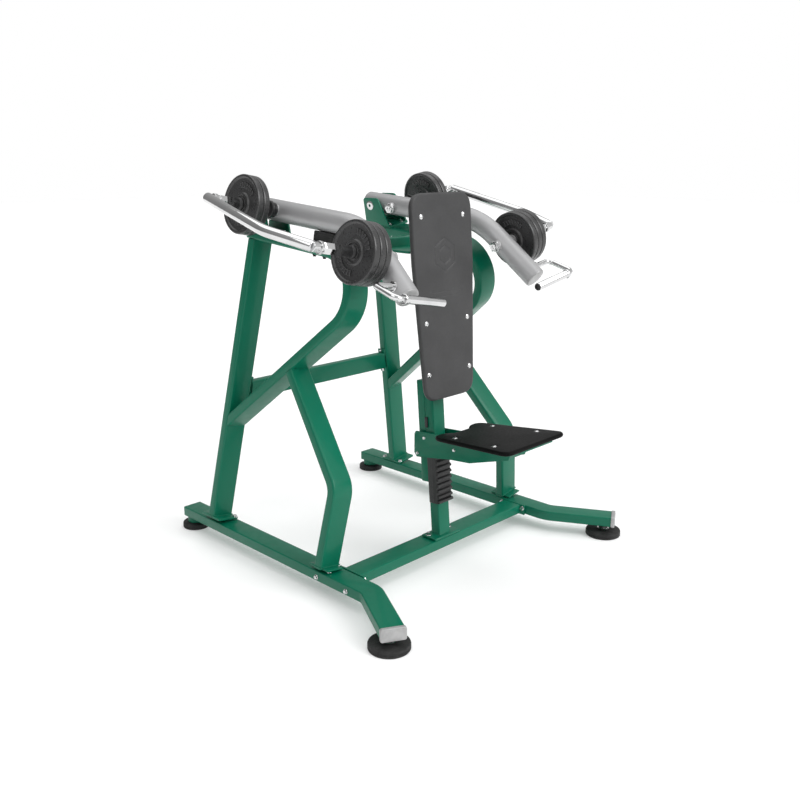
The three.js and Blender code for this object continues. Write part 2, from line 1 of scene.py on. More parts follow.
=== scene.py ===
"""Shoulder press machine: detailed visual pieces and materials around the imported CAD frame."""
import json
import math

import bmesh
import bpy
from mathutils import Matrix, Vector, geometry


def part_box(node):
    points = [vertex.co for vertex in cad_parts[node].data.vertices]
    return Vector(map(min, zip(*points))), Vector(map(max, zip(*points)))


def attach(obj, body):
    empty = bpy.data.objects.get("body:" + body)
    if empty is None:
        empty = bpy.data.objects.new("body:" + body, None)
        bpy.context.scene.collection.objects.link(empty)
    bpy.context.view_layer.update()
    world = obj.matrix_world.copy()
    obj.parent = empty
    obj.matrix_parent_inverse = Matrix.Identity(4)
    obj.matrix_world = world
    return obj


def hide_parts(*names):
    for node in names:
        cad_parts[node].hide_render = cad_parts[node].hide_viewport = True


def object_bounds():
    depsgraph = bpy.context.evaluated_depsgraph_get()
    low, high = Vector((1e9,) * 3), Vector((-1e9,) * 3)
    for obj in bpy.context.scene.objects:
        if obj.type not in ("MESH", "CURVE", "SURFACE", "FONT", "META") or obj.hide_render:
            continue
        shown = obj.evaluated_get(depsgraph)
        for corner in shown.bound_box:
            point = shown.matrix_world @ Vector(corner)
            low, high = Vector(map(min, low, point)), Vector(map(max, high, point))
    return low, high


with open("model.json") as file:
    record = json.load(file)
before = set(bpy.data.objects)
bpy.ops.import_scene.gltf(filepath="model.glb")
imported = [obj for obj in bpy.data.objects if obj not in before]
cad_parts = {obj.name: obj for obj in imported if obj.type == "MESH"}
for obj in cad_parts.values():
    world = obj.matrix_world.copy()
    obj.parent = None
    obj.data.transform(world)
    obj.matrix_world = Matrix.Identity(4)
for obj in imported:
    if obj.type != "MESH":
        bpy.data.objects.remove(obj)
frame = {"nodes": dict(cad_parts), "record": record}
cad_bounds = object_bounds()

shift = Matrix.Translation

# ---- Sizes and places, in millimetres ----
# FIT is the gap left between neighbouring pieces.
MM = 0.001
FIT = 0.3
RAIL_REAR = 990
REAR_FOOT = (529, 962)
SPACER_RADIUS = 36
RAIL_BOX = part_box("right_base_rail")
ORIGIN_Y = RAIL_BOX[1].y - (REAR_FOOT[1] + SPACER_RADIUS) * MM
RAIL_BOTTOM = 51
RAIL_TOP = RAIL_BOX[1].z / MM
RAIL_HEIGHT = RAIL_TOP - RAIL_BOTTOM
RAIL_WIDTH = 85
RAIL_X = 529
RAIL_BEND_Y = -153
RAIL_FRONT = (667, -401)
FRONT_FOOT = (648, -362)

LEAN = math.radians(10)
SIDE_X = 537
TUBE, TUBE_CORNER = (95, 40), 8
POST_FOOT, POST_SLOPE, POST_LENGTH = 768, -0.0777, 1200
POST_FLANGE, POST_FLANGE_REACH, LEG_TAB = 10, 62, 6
HOOP_FRONT, HOOP_RISE, HOOP_BEND = (196, 1151), 0.088, 145
LOW_REAR, LOW_SLOPE = (733, 422), -0.811
LEG_FOOT, LEG_KNEE, LEG_BEND = (83, 0), (52, 318), 90
LEG_HEADING, LEG_REACH = (0.639, 0.769), 640
BEAM_FLANGE = 8
ARM_RADIUS = 42
ARM_PIVOT, ARM_SLOPE, ARM_REAR = (660, 1299), 0.0838, 716
ARM_KNEE, ARM_BEND = (91, 1251), 300
ARM_TIP, ARM_TIP_LENGTH = (-0.758, -0.652), 333
REAR_HORN_Y, REAR_REACH, REAR_FIRST, REAR_PLATES = 546, 326, 152, 2
FRONT_HORN, FRONT_REACH, FRONT_FIRST, FRONT_PLATES = (-17, 1160), 298, 61, 3
PLATE_RADIUS, PLATE_STEP = 110, 26.7
PLATE_THICK = PLATE_STEP - FIT
REAR_HUB, FRONT_HUB = 40, 60
SHAFT_RADIUS = 12.5
GRIP_Y, GRIP_U, GRIP_IN, GRIP_OUT = -242, 1030, -86, 138
ROD_ROOT = (-131, 1064)

SEAT_LEAN = math.atan(0.0816)
SEAT_TILT = math.atan(0.0905)
POST_Y, POST_HALF_X, POST_HALF_Y = -7, 31.5, 23
SEAT_Y, SEAT_Z, SEAT_THICK = -76, 554, 18
BACK_THICK = 22

SIDES = (("left", -1), ("right", 1))
GROUND = shift((0, ORIGIN_Y, 0)) @ Matrix.Scale(MM, 4)
POST = (
    shift((0, ORIGIN_Y + POST_Y * MM, RAIL_TOP * MM))
    @ Matrix.Rotation(-SEAT_LEAN, 4, "X")
    @ Matrix.Scale(MM, 4)
)
SEAT = (
    shift((0, ORIGIN_Y + SEAT_Y * MM, SEAT_Z * MM))
    @ Matrix.Rotation(-SEAT_TILT, 4, "X")
    @ Matrix.Scale(MM, 4)
)


def side_frame(side):
    """x points outward, y back and z up the leaning plane, from the rail's top."""
    cos, sin = math.cos(LEAN), math.sin(LEAN)
    turn = Matrix(((side * cos, 0, -side * sin, 0), (0, 1, 0, 0), (sin, 0, cos, 0), (0, 0, 0, 1)))
    origin = shift((side * SIDE_X * MM, ORIGIN_Y, RAIL_TOP * MM))
    return origin @ turn @ Matrix.Scale(MM, 4)


def standing(x, y):
    """A matrix whose X axis points up from a place on the ground."""
    return shift((x, y, 0)) @ Matrix.Rotation(-math.pi / 2, 4, "Y")


def side_inner_face(side):
    """The outward direction of a side frame, and a point on its inner face."""
    outward = Vector((side * math.cos(LEAN), 0, math.sin(LEAN)))
    return outward, Vector((side * SIDE_X, 0, RAIL_TOP)) - outward * (TUBE[0] / 2 + FIT)


def hoop_run(y):
    return HOOP_FRONT[1] + HOOP_RISE * (y - HOOP_FRONT[0])


def hoop_low(y):
    return LOW_REAR[1] + LOW_SLOPE * (y - LOW_REAR[0])


def post_line(u):
    return POST_FOOT + POST_SLOPE * u


def arm_line(y):
    return ARM_PIVOT[1] + ARM_SLOPE * (y - ARM_PIVOT[0])


# ---- Materials ----
def fill(node, **values):
    """Sets a node's inputs by name, with _ for each space."""
    for key, value in values.items():
        node.inputs[key.replace("_", " ")].default_value = value


class Nodes:
    """Short names for building one material's node tree."""

    def __init__(self, name):
        self.material = bpy.data.materials.new(name)
        self.material.use_nodes = True
        tree = self.material.node_tree
        self.new, self.join = tree.nodes.new, tree.links.new
        self.bsdf = tree.nodes["Principled BSDF"]
        self.place = self.new("ShaderNodeTexCoord").outputs["Object"]

    def noise(self, scale, detail=3.0, rough=0.5):
        node = self.new("ShaderNodeTexNoise")
        fill(node, Scale=scale, Detail=detail, Roughness=rough)
        self.join(self.place, node.inputs["Vector"])
        return node.outputs["Fac"]

    def cells(self, scale, feature="F1"):
        node = self.new("ShaderNodeTexVoronoi")
        node.feature = feature
        fill(node, Scale=scale)
        self.join(self.place, node.inputs["Vector"])
        return node.outputs["Distance"]

    def ramp(self, source, low, high, start=0.35, end=0.65):
        node = self.new("ShaderNodeMapRange")
        fill(node, From_Min=start, From_Max=end, To_Min=low, To_Max=high)
        self.join(source, node.inputs["Value"])
        return node.outputs["Result"]

    def mix(self, factor, first, second):
        node = self.new("ShaderNodeMix")
        node.data_type = "RGBA"
        fill(node, A=(*first, 1), B=(*second, 1))
        self.join(factor, node.inputs["Factor"])
        return node.outputs["Result"]

    def edge_highlight_and_wear(self, radius, full_edge_at=0.86, flat_face_at=0.99):
        """1 on a convex edge, 0 on flat faces: the mask for a painted highlight along the edges,
        with edge wear.
        """
        bevel = self.new("ShaderNodeBevel")
        bevel.samples = 4
        fill(bevel, Radius=radius)
        surface = self.new("ShaderNodeNewGeometry")
        dot = self.new("ShaderNodeVectorMath")
        dot.operation = "DOT_PRODUCT"
        self.join(bevel.outputs["Normal"], dot.inputs[0])
        self.join(surface.outputs["Normal"], dot.inputs[1])
        return self.ramp(dot.outputs["Value"], 1.0, 0.0, full_edge_at, flat_face_at)

    def bump(self, height, distance, strength=1.0, after=None):
        node = self.new("ShaderNodeBump")
        fill(node, Distance=distance, Strength=strength)
        self.join(height, node.inputs["Height"])
        if after:
            self.join(after, node.inputs["Normal"])
        return node.outputs["Normal"]

    def link(self, source, key):
        self.join(source, self.bsdf.inputs[key])

    def colour(self, dark, light, scale, detail=3.0):
        """A base colour that wanders between two colours."""
        self.link(self.mix(self.ramp(self.noise(scale, detail), 0, 1), dark, light), "Base Color")

    def roughness(self, low, high, scale, detail=3.0):
        self.link(self.ramp(self.noise(scale, detail), low, high), "Roughness")


def noisy(name, colour, roughness, grain, relief, **settings):
    """A material from its colour, its roughness and a fine grain of noise."""
    n = Nodes(name)
    fill(n.bsdf, **settings)
    n.colour(*colour)
    n.roughness(*roughness)
    n.link(n.bump(n.noise(*grain), *relief), "Normal")
    return n.material


def chrome():
    """Bright metal with faint smears."""
    n = Nodes("chrome")
    fill(n.bsdf, Metallic=1.0)
    n.colour((0.62, 0.625, 0.63), (0.7, 0.7, 0.7), 12)
    n.link(n.ramp(n.noise(90, 5, 0.7), 0.05, 0.16, 0.4, 0.75), "Roughness")
    n.link(n.bump(n.noise(900, 2), 0.00002, 0.3), "Normal")
    return n.material


def plate_iron():
    """Dark cast iron, paler on its convex edges: a painted highlight along the edges, with edge
    wear.
    """
    n = Nodes("plate_iron")
    fill(n.bsdf, Specular_IOR_Level=0.6)
    # The pale colour on convex edges is a painted highlight along the plates' edges and rings,
    # together with some edge wear.
    highlight_and_wear_colour = n.mix(n.edge_highlight_and_wear(0.0018), (0.026, 0.026, 0.0265), (0.13, 0.13, 0.132))
    n.link(highlight_and_wear_colour, "Base Color")
    n.roughness(0.26, 0.36, 150)
    grain = n.bump(n.noise(900, 2), 0.0001, 0.15)
    n.link(n.bump(n.cells(420), 0.0001, 0.1, grain), "Normal")
    return n.material


def black_plastic():
    n = Nodes("black_plastic")
    n.colour((0.009, 0.009, 0.0095), (0.014, 0.014, 0.0145), 45)
    n.roughness(0.36, 0.52, 160)
    n.link(n.bump(n.cells(1300), 0.00015, 0.25), "Normal")
    return n.material


def vinyl(name, dark, light, low, high, gloss):
    """Fine pebbled leather grain: two sizes of cell over slow waviness."""
    n = Nodes(name)
    fill(n.bsdf, Specular_IOR_Level=gloss)
    n.colour(dark, light, 9, 4)
    n.roughness(low, high, 120)
    pebbles = n.bump(n.cells(900, "SMOOTH_F1"), 0.00015, 0.12)
    creases = n.bump(n.cells(330, "DISTANCE_TO_EDGE"), 0.00012, 0.08, pebbles)
    n.link(n.bump(n.noise(14, 1), 0.0008, 0.06, creases), "Normal")
    return n.material


def floor_paint():
    n = Nodes("floor_paint")
    n.colour((0.78, 0.78, 0.78), (0.8, 0.8, 0.8), 1.5)
    n.roughness(0.85, 0.95, 20)
    fill(n.bsdf, Emission_Color=(1, 1, 1, 1), Emission_Strength=0.22, Specular_IOR_Level=0.0)
    return n.material


GREENS = (0.0, 0.13, 0.072), (0.001, 0.14, 0.079), 2.5, 1
GREEN_COAT = {"Coat_Weight": 0.15, "Coat_Roughness": 0.05, "Specular_IOR_Level": 0.22}
SILVERS = (0.33, 0.33, 0.335), (0.38, 0.38, 0.385), 1400, 1
SILVER_COAT = {"Metallic": 0.25, "Coat_Weight": 0.3, "Coat_Roughness": 0.15}
CAP_GREYS = (0.35, 0.35, 0.35), (0.41, 0.41, 0.41), 40
RUBBERS = (0.012, 0.012, 0.012), (0.026, 0.026, 0.026), 30, 5
BACK_GREYS = (0.042, 0.042, 0.043), (0.052, 0.052, 0.053)
SEAT_GREYS = (0.005, 0.005, 0.005), (0.008, 0.008, 0.008)
MATERIALS = {
    "green_paint": noisy(
        "green_paint", GREENS, (0.32, 0.4, 30, 1), (260, 1), (0.0001, 0.08), **GREEN_COAT
    ),
    "silver_paint": noisy(
        "silver_paint", SILVERS, (0.36, 0.46, 70), (700, 1), (0.00006, 0.15), **SILVER_COAT
    ),
    "silver_cap": noisy(
        "silver_cap", CAP_GREYS, (0.3, 0.42, 180), (1600, 1), (0.00008, 0.3), Metallic=0.35
    ),
    "chrome": chrome(),
    "plate_iron": plate_iron(),
    "black_plastic": black_plastic(),
    "black_rubber": noisy(
        "black_rubber", RUBBERS, (0.6, 0.8, 200), (1500, 2), (0.0002, 0.4), Specular_IOR_Level=0.35
    ),
    "back_vinyl": vinyl("back_vinyl", *BACK_GREYS, 0.42, 0.52, 0.3),
    "seat_vinyl": vinyl("seat_vinyl", *SEAT_GREYS, 0.36, 0.42, 0.04),
}


# ---- Mesh building ----
def add_surface(bm, rings, closed_ends=True):
    """Joins rings of equal length into a skin, and caps both ends."""
    made = [[bm.verts.new(p) for p in ring] for ring in rings]
    count = len(rings[0])
    for low, high in zip(made, made[1:]):
        for i in range(count):
            j = (i + 1) % count
            bm.faces.new((low[i], low[j], high[j], high[i]))
    if closed_ends:
        bm.faces.new(made[0][::-1])
        bm.faces.new(made[-1])
    return made


def add_lathe(bm, profile, matrix=Matrix(), segments=48):
    """A solid of [radius, x] points turned about X. A radius of 0 closes on a point."""
    rings = []
    for radius, x in profile:
        around = round_section(radius, segments) if radius else [(0, 0)]
        rings.append([bm.verts.new(matrix @ Vector((x, y, z))) for y, z in around])
    if profile[0] == profile[-1]:
        for vertex in rings[-1]:
            bm.verts.remove(vertex)
        rings[-1] = rings[0]
    for low, high in zip(rings, rings[1:]):
        for i in range(segments):
            j = (i + 1) % segments
            corners = [low[i % len(low)], low[j % len(low)]]
            corners += [high[j % len(high)], high[i % len(high)]]
            bm.faces.new(list(dict.fromkeys(corners)))


def rounded_section(width, height, corner, steps=5):
    points = []
    for quarter, (sx, sy) in enumerate(((1, 1), (-1, 1), (-1, -1), (1, -1))):
        for k in range(steps + 1):
            angle = math.pi / 2 * (quarter + k / steps)
            x = sx * (width / 2 - corner) + corner * math.cos(angle)
            y = sy * (height / 2 - corner) + corner * math.sin(angle)
            points.append((x, y))
    return points


def round_section(radius, segments=40):
    angles = [math.tau * k / segments for k in range(segments)]
    return [(radius * math.cos(a), radius * math.sin(a)) for a in angles]


def rounded_route(corners, radii, step=math.radians(3)):
    """A line through the corners, with an arc of the given radius at each inner corner."""
    corners = [Vector(c) for c in corners]
    stations = [corners[0]]
    for i, radius in enumerate(radii, 1):
        arrive = (corners[i] - corners[i - 1]).normalized()
        leave = (corners[i + 1] - corners[i]).normalized()
        turn = arrive.angle(leave)
        axis = arrive.cross(leave).normalized()
        start = corners[i] - arrive * radius * math.tan(turn / 2)
        centre = start + axis.cross(arrive) * radius
        steps = math.ceil(turn / step)
        for k in range(steps + 1):
            stations.append(centre + Matrix.Rotation(turn * k / steps, 3, axis) @ (start - centre))
    stations.append(corners[-1])
    return stations


def add_sweep(bm, stations, section, across, inset=None):
    """Sweeps a section whose x axis stays along the across vector. Inset rounds the two ends."""
    across = Vector(across)
    rings = []
    for i, here in enumerate(stations):
        tangent = Vector()
        if i:
            tangent += (here - stations[i - 1]).normalized()
        if i < len(stations) - 1:
            tangent += (stations[i + 1] - here).normalized()
        tangent.normalize()
        up = tangent.cross(across).normalized()
        out = up.cross(tangent)
        rings.append((here, out, up, tangent))
    loops = [[h + out * x + up * y for x, y in section] for h, out, up, _ in rings]
    if inset:
        half_x = max(x for x, _ in section)
        half_y = max(y for _, y in section)
        for at, sign in ((0, -1), (-1, 1)):
            here, out, up, tangent = rings[at]
            ends = []
            for k in range(1, 5):
                angle = math.pi / 2 * k / 4
                shrink = inset * (1 - math.cos(angle))
                scale_x, scale_y = 1 - shrink / half_x, 1 - shrink / half_y
                moved = here + tangent * sign * inset * (math.sin(angle) - 1)
                ends.append([moved + out * x * scale_x + up * y * scale_y for x, y in section])
            first = here - tangent * sign * inset
            loops[at] = [first + out * x + up * y for x, y in section]
            loops = ends[::-1] + loops if at == 0 else loops + ends
    add_surface(bm, loops)


def cut_plane(bm, point, normal):
    """Removes what lies on the side that the normal points to, and closes the cut."""
    everything = bm.verts[:] + bm.edges[:] + bm.faces[:]
    made = bmesh.ops.bisect_plane(
        bm, geom=everything, plane_co=point, plane_no=normal, clear_outer=True, clear_inner=False
    )
    edges = [e for e in made["geom_cut"] if isinstance(e, bmesh.types.BMEdge)]
    bmesh.ops.edgenet_fill(bm, edges=edges)


def round_edges(bm, edges, offset, segments, clamp=True):
    shape = {"offset": offset, "segments": segments, "profile": 0.5, "affect": "EDGES"}
    bmesh.ops.bevel(bm, geom=edges, clamp_overlap=clamp, **shape)


def add_box(bm, low, high, bevel=2.0, matrix=Matrix(), segments=3):
    part = bmesh.new()
    bmesh.ops.create_cube(part, size=1)
    size = Vector(high) - Vector(low)
    middle = (Vector(high) + Vector(low)) / 2
    part.transform(shift(middle) @ Matrix.Diagonal((*size, 1)))
    if bevel:
        round_edges(part, part.edges[:], bevel, segments, clamp=False)
    part.transform(matrix)
    append(bm, part)


def add_plate(bm, outline, low, high, bevel, round_corners=0, above=-math.inf):
    """A flat plate across X with a [y, z] outline. Corners higher than above are rounded."""
    part = bmesh.new()
    face = part.faces.new([part.verts.new((low, y, z)) for y, z in outline])
    made = bmesh.ops.extrude_face_region(part, geom=[face])
    moved = [v for v in made["geom"] if isinstance(v, bmesh.types.BMVert)]
    bmesh.ops.translate(part, verts=moved, vec=(high - low, 0, 0))

    def crosses(edge):
        return abs(edge.verts[0].co.x - edge.verts[1].co.x) > 1e-6

    if round_corners:
        along = [e for e in part.edges if crosses(e) and e.verts[0].co.z > above]
        round_edges(part, along, round_corners, 8)
    if bevel:
        round_edges(part, [e for e in part.edges if not crosses(e)], bevel, 2)
    append(bm, part)


def append(bm, part):
    """Moves a part's mesh into bm, with its faces turned outward."""
    bmesh.ops.recalc_face_normals(part, faces=part.faces[:])
    mesh = bpy.data.meshes.new("part")
    part.to_mesh(mesh)
    part.free()
    bm.from_mesh(mesh)
    bpy.data.meshes.remove(mesh)


def aim(point, axis):
    """A matrix whose X axis points along axis, at point."""
    return shift(point) @ Vector(axis).to_track_quat("X", "Z").to_matrix().to_4x4()


def add_bolt(bm, point, axis, across, washer, head):
    """A washer and a chamfered hex head standing on a face, with the bolt's end in a dimple."""
    place = aim(point, axis)
    rim = [(0, -2), (washer - 1, -2), (washer, -1), (washer, 1), (washer - 0.8, 2), (0, 2)]
    add_lathe(bm, rim, place, 24)
    r = across / math.sqrt(3)
    hexagon = [(0, 1.5), (r * 0.93, 1.5), (r, 2.4), (r, head - 1), (r * 0.86, head)]
    hexagon += [(r * 0.45, head), (r * 0.4, head - 1), (0, head - 1)]
    add_lathe(bm, hexagon, place, 6)


def add_button(bm, point, axis, radius):
    """A domed button head with a hex socket."""
    rise = radius * 0.42
    dome = [(0, -4), (radius, -4), (radius, 0)]
    dome += [(radius * math.cos(a), rise * math.sin(a)) for a in (0.3, 0.6, 0.9, 1.1)]
    dome += [(radius * 0.36, rise * 0.97), (radius * 0.33, rise * 0.4), (0, rise * 0.4)]
    add_lathe(bm, dome, aim(point, axis), 28)


def add_weld(bm, points, radius, closed=False, ripple=3.2):
    """A weld bead along a line of points, with a ripple at each step."""
    path = [Vector(p) for p in points]
    if closed:
        path.append(path[0])
    beads = []
    for a, b in zip(path, path[1:]):
        count = max(2, round((b - a).length / ripple))
        beads += [a.lerp(b, k / count) for k in range(count)]
    beads.append(path[-1])
    rings = []
    for i, here in enumerate(beads):
        tangent = (beads[min(i + 1, len(beads) - 1)] - beads[max(i - 1, 0)]).normalized()
        side = tangent.orthogonal().normalized()
        up = tangent.cross(side)
        r = radius * (1.0 if i % 2 else 0.8)
        rings.append([here + side * x + up * y for x, y in round_section(r, 8)])
    part = bmesh.new()
    add_surface(part, rings)
    append(bm, part)


def add_weld_round(bm, x, y0, y1, z):
    """A bead round the foot of a tube."""
    add_weld(bm, [(-x, y0, z), (x, y0, z), (x, y1, z), (-x, y1, z)], 3, closed=True)


def make_object(name, bm, material):
    bmesh.ops.recalc_face_normals(bm, faces=bm.faces[:])
    mesh = bpy.data.meshes.new(name)
    bm.to_mesh(mesh)
    bm.free()
    mesh.materials.append(material)
    made = bpy.data.objects.new(name, mesh)
    bpy.context.scene.collection.objects.link(made)
    return made


def finish_piece(name, bm, matrix, slot, body, replaced=(), smooth=38):
    bm.transform(matrix)
    piece = make_object(name, bm, MATERIALS[slot])
    piece.data.polygons.foreach_set("use_smooth", [True] * len(piece.data.polygons))
    piece.data.set_sharp_from_angle(angle=math.radians(smooth))
    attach(piece, body)
    if replaced:
        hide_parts(*replaced)
    return piece


# ---- Base ----
def build_base(word, side):
    place = GROUND @ Matrix.Diagonal((side, 1, 1, 1))
    middle = RAIL_BOTTOM + RAIL_HEIGHT / 2
    bm = bmesh.new()
    corners = [(RAIL_X, RAIL_REAR, middle), (RAIL_X, RAIL_BEND_Y, middle), (*RAIL_FRONT, middle)]
    section = rounded_section(RAIL_HEIGHT, RAIL_WIDTH, 5)
    add_sweep(bm, rounded_route(corners, [90]), section, (0, 0, 1), inset=1.5)
    spacer = [(0, 25), (34, 25), (SPACER_RADIUS, 27), (SPACER_RADIUS, 52), (0, 52)]
    add_lathe(bm, spacer, standing(*REAR_FOOT))
    finish_piece(f"{word}_rail", bm, place, "green_paint", "frame", [f"{word}_base_rail"])

    bm = bmesh.new()
    heading = (Vector(RAIL_FRONT) - Vector((RAIL_X, RAIL_BEND_Y))).normalized()
    front = Vector((*RAIL_FRONT, middle))
    along = Vector((*heading, 0))
    cap_section = rounded_section(RAIL_HEIGHT + 6, RAIL_WIDTH + 6, 8)
    add_sweep(bm, [front - along * 12, front + along * 4], cap_section, (0, 0, 1), inset=3)
    panel = rounded_section(RAIL_HEIGHT - 8, RAIL_WIDTH - 8, 6)
    add_sweep(bm, [front, front + along * 5], panel, (0, 0, 1), inset=1)
    finish_piece(f"{word}_rail_cap", bm, place, "silver_cap", "frame", [f"{word}_rail_end_cap"])

    height = 24
    for name, at, radius, top in (
        ("front_foot", FRONT_FOOT, 73, RAIL_BOTTOM - 0.5),
        ("rear_foot", REAR_FOOT, 58, height),
    ):
        bm = bmesh.new()
        profile = [(0, 0), (radius - 3, 0), (radius - 1, 1), (radius, 3), (radius, height * 0.4)]
        profile += [(radius - 1.5, height * 0.43), (radius - 1.5, height * 0.5)]
        profile += [(radius, height * 0.53), (radius, height - 6)]
        profile += [(radius - 1.5, height - 2), (radius - 5, height - 0.2)]
        if top > height:
            profile += [(40, height), (16, height), (14, height + 2), (14, top), (0, top)]
        else:
            profile += [(0, height)]
        add_lathe(bm, profile, standing(*at), 72)
        piece = f"{word}_{name}_rubber"
        finish_piece(piece, bm, place, "black_rubber", "frame", [f"{word}_{name}"])

    bm = bmesh.new()
    nut = standing(*FRONT_FOOT)
    washer = [(14.2, 27), (24, 27), (25, 28), (25, 29.5), (24, 30), (14.2, 30), (14.2, 27)]
    add_lathe(bm, washer, nut, 40)
    hexagon = [(14.2, 30.5), (19, 30.5), (21, 32), (21, 41), (19, 42.5), (14.2, 42.5)]
    add_lathe(bm, [*hexagon, hexagon[0]], nut, 6)
    for y in (-64, 98):
        add_bolt(bm, (RAIL_X + RAIL_WIDTH / 2, y, middle - 4), (1, 0, 0), 14, 10, 7)
    leg_bolt_x = 551
    for y in (47, 119):
        add_bolt(bm, (leg_bolt_x, y, RAIL_TOP + LEG_TAB), (0, 0, 1), 14, 10, 9)
    add_bolt(bm, (leg_bolt_x, 36, RAIL_BOTTOM), (0, 0, -1), 14, 9, 6)
    for y in (post_line(0) - 54, post_line(0) + 54):
        add_bolt(bm, (RAIL_X - 32, y, RAIL_TOP + 12), (0, 0, 1), 15, 11, 7)
    finish_piece(f"{word}_base_bolts", bm, place, "chrome", "frame")


def build_front_crossbeam():
    bm = bmesh.new()
    half = RAIL_X - RAIL_WIDTH / 2 - 0.5
    middle = RAIL_BOTTOM + RAIL_HEIGHT / 2
    ends = [Vector((-half, 0, middle)), Vector((half, 0, middle))]
    add_sweep(bm, ends, rounded_section(RAIL_HEIGHT - 1, 89, 5), (0, 0, 1))
    for side in (-1, 1):
        at = side * (half - BEAM_FLANGE)
        x0, x1 = sorted((side * half, at))
        add_box(bm, (x0, -66, RAIL_BOTTOM - 2), (x1, 66, RAIL_TOP + 2), 1.5)
        y, z = 44.5, RAIL_HEIGHT / 2 - 0.5
        corners = ((-y, -z), (y, -z), (y, z), (-y, z))
        add_weld(bm, [(at, dy, middle + dz) for dy, dz in corners], 2.8, closed=True)
    finish_piece("front_beam", bm, GROUND, "green_paint", "frame", ["front_crossbeam"])

    bm = bmesh.new()
    for side in (-1, 1):
        for y in (-56, 56):
            at = (side * (half - BEAM_FLANGE), y, middle + 6)
            add_bolt(bm, at, (-side, 0, 0), 15, 10, 8)
    for x in (-60, 60):
        add_bolt(bm, (x, POST_Y + 14, RAIL_TOP + 10), (0, 0, 1), 15, 11, 12)
    finish_piece("front_beam_bolts", bm, GROUND, "chrome", "frame")


# ---- Side frames ----
def build_side_frame(word, side):
    place = side_frame(side)
    section = rounded_section(*TUBE, TUBE_CORNER)
    half_width, half_depth = TUBE[0] / 2, TUBE[1] / 2
    floor = math.tan(LEAN) * half_width + 1

    bm = bmesh.new()
    start, top = 14, POST_LENGTH
    ends = [Vector((0, post_line(start), start)), Vector((0, post_line(top), top))]
    add_sweep(bm, ends, section, (1, 0, 0))
    cut_plane(bm, (0, 0, hoop_run(0) - half_depth - FIT), (0, -HOOP_RISE, 1))
    base = floor + POST_FLANGE
    low, high = POST_FOOT - POST_FLANGE_REACH, POST_FOOT + POST_FLANGE_REACH
    add_box(bm, (-half_width, low, floor), (half_width, high, base), 1.5)
    x = half_width - 1
    add_weld_round(bm, x, post_line(base) - half_depth, post_line(base) + half_depth, base)
    finish_piece(f"{word}_post_tube", bm, place, "green_paint", "frame", [f"{word}_rear_post"])

    knee_y = (hoop_low(0) - hoop_run(0)) / (HOOP_RISE - LOW_SLOPE)
    low_end = post_line(400)
    corners = [(0, 705, hoop_run(705)), (0, knee_y, hoop_run(knee_y))]
    corners.append((0, low_end, hoop_low(low_end)))
    bm = bmesh.new()
    add_sweep(bm, rounded_route(corners, [HOOP_BEND]), section, (1, 0, 0))
    # The diagonal ends at the post's front face, while the run goes on over the post's top.
    run_part = bm.copy()
    cut_plane(bm, (0, POST_FOOT - half_depth - FIT, 0), (0, 1, -POST_SLOPE))
    cut_plane(run_part, (0, 0, hoop_run(0) - 40), (0, HOOP_RISE, -1))
    cut_plane(run_part, (0, POST_FOOT - half_depth - 3, 0), (0, -1, POST_SLOPE))
    append(bm, run_part)
    finish_piece(f"{word}_hoop", bm, place, "green_paint", "frame", [f"{word}_hoop_tube"])

    bm = bmesh.new()
    foot, knee = Vector((0, *LEG_FOOT)), Vector((0, *LEG_KNEE))
    top = knee + Vector((0, *LEG_HEADING)) * LEG_REACH
    add_sweep(bm, rounded_route([foot, knee, top], [LEG_BEND]), section, (1, 0, 0))
    cut_plane(bm, (0, 0, floor), (0, 0, -1))
    under = hoop_low(0) - (half_depth + FIT) * math.hypot(1, LOW_SLOPE)
    cut_plane(bm, (0, 0, under), (0, -LOW_SLOPE, 1))
    add_box(bm, (-38, 32, floor), (38, 134, floor + LEG_TAB), 1.5)
    at = foot.lerp(knee, (floor + 8) / LEG_KNEE[1])
    add_weld_round(bm, x, at.y - half_depth, at.y + half_depth, at.z)
    finish_piece(f"{word}_leg_tube", bm, place, "green_paint", "frame", [f"{word}_front_leg"])


def build_crossbeams():
    z, y, depth, height = 637, 724, 40, 74
    bm = bmesh.new()
    ends = [Vector((-600, y, z)), Vector((600, y, z))]
    add_sweep(bm, ends, rounded_section(height, depth, 7), (0, 0, 1))
    for side in (-1, 1):
        outward, face = side_inner_face(side)
        cut_plane(bm, face, outward)
    for side in (-1, 1):
        outward, face = side_inner_face(side)
        at = face.x - side * math.tan(LEAN) * (z - face.z)
        flange = bmesh.new()
        add_box(flange, (-BEAM_FLANGE, -depth / 2, -56), (0, depth / 2, 56), 1.5)
        lean = Matrix.Rotation(-side * LEAN, 4, "Y") @ Matrix.Diagonal((side, 1, 1, 1))
        flange.transform(shift((at, y, z)) @ lean)
        append(bm, flange)
    finish_piece("rear_beam", bm, GROUND, "green_paint", "frame", ["rear_crossbeam"])

    bm = bmesh.new()
    for side in (-1, 1):
        outward, _ = side_inner_face(side)
        for dz in (-46, 46):
            inward_slope = 0.17
            x = SIDE_X - 48.5 - BEAM_FLANGE - inward_slope * (z + dz - RAIL_TOP)
            add_bolt(bm, (side * x, y, z + dz), -outward, 14, 10, 7)
    finish_piece("rear_beam_bolts", bm, GROUND, "chrome", "frame")

    refine("upper_crossbeam", "upper_beam", "green_paint", "frame", 3)


def refine(node, name, slot, body, bevel, angle=25):
    """A copy of a CAD node with joined faces and rounded edges."""
    bm = bmesh.new()
    bm.from_mesh(frame["nodes"][node].data)
    bmesh.ops.remove_doubles(bm, verts=bm.verts[:], dist=1e-5)
    bmesh.ops.dissolve_limit(bm, angle_limit=math.radians(1), verts=bm.verts[:], edges=bm.edges[:])
    limit = math.radians(angle)
    sharp = [e for e in bm.edges if len(e.link_faces) == 2 and e.calc_face_angle(0) > limit]
    round_edges(bm, sharp, bevel * MM, 3)
    finish_piece(name, bm, Matrix(), slot, body, [node])


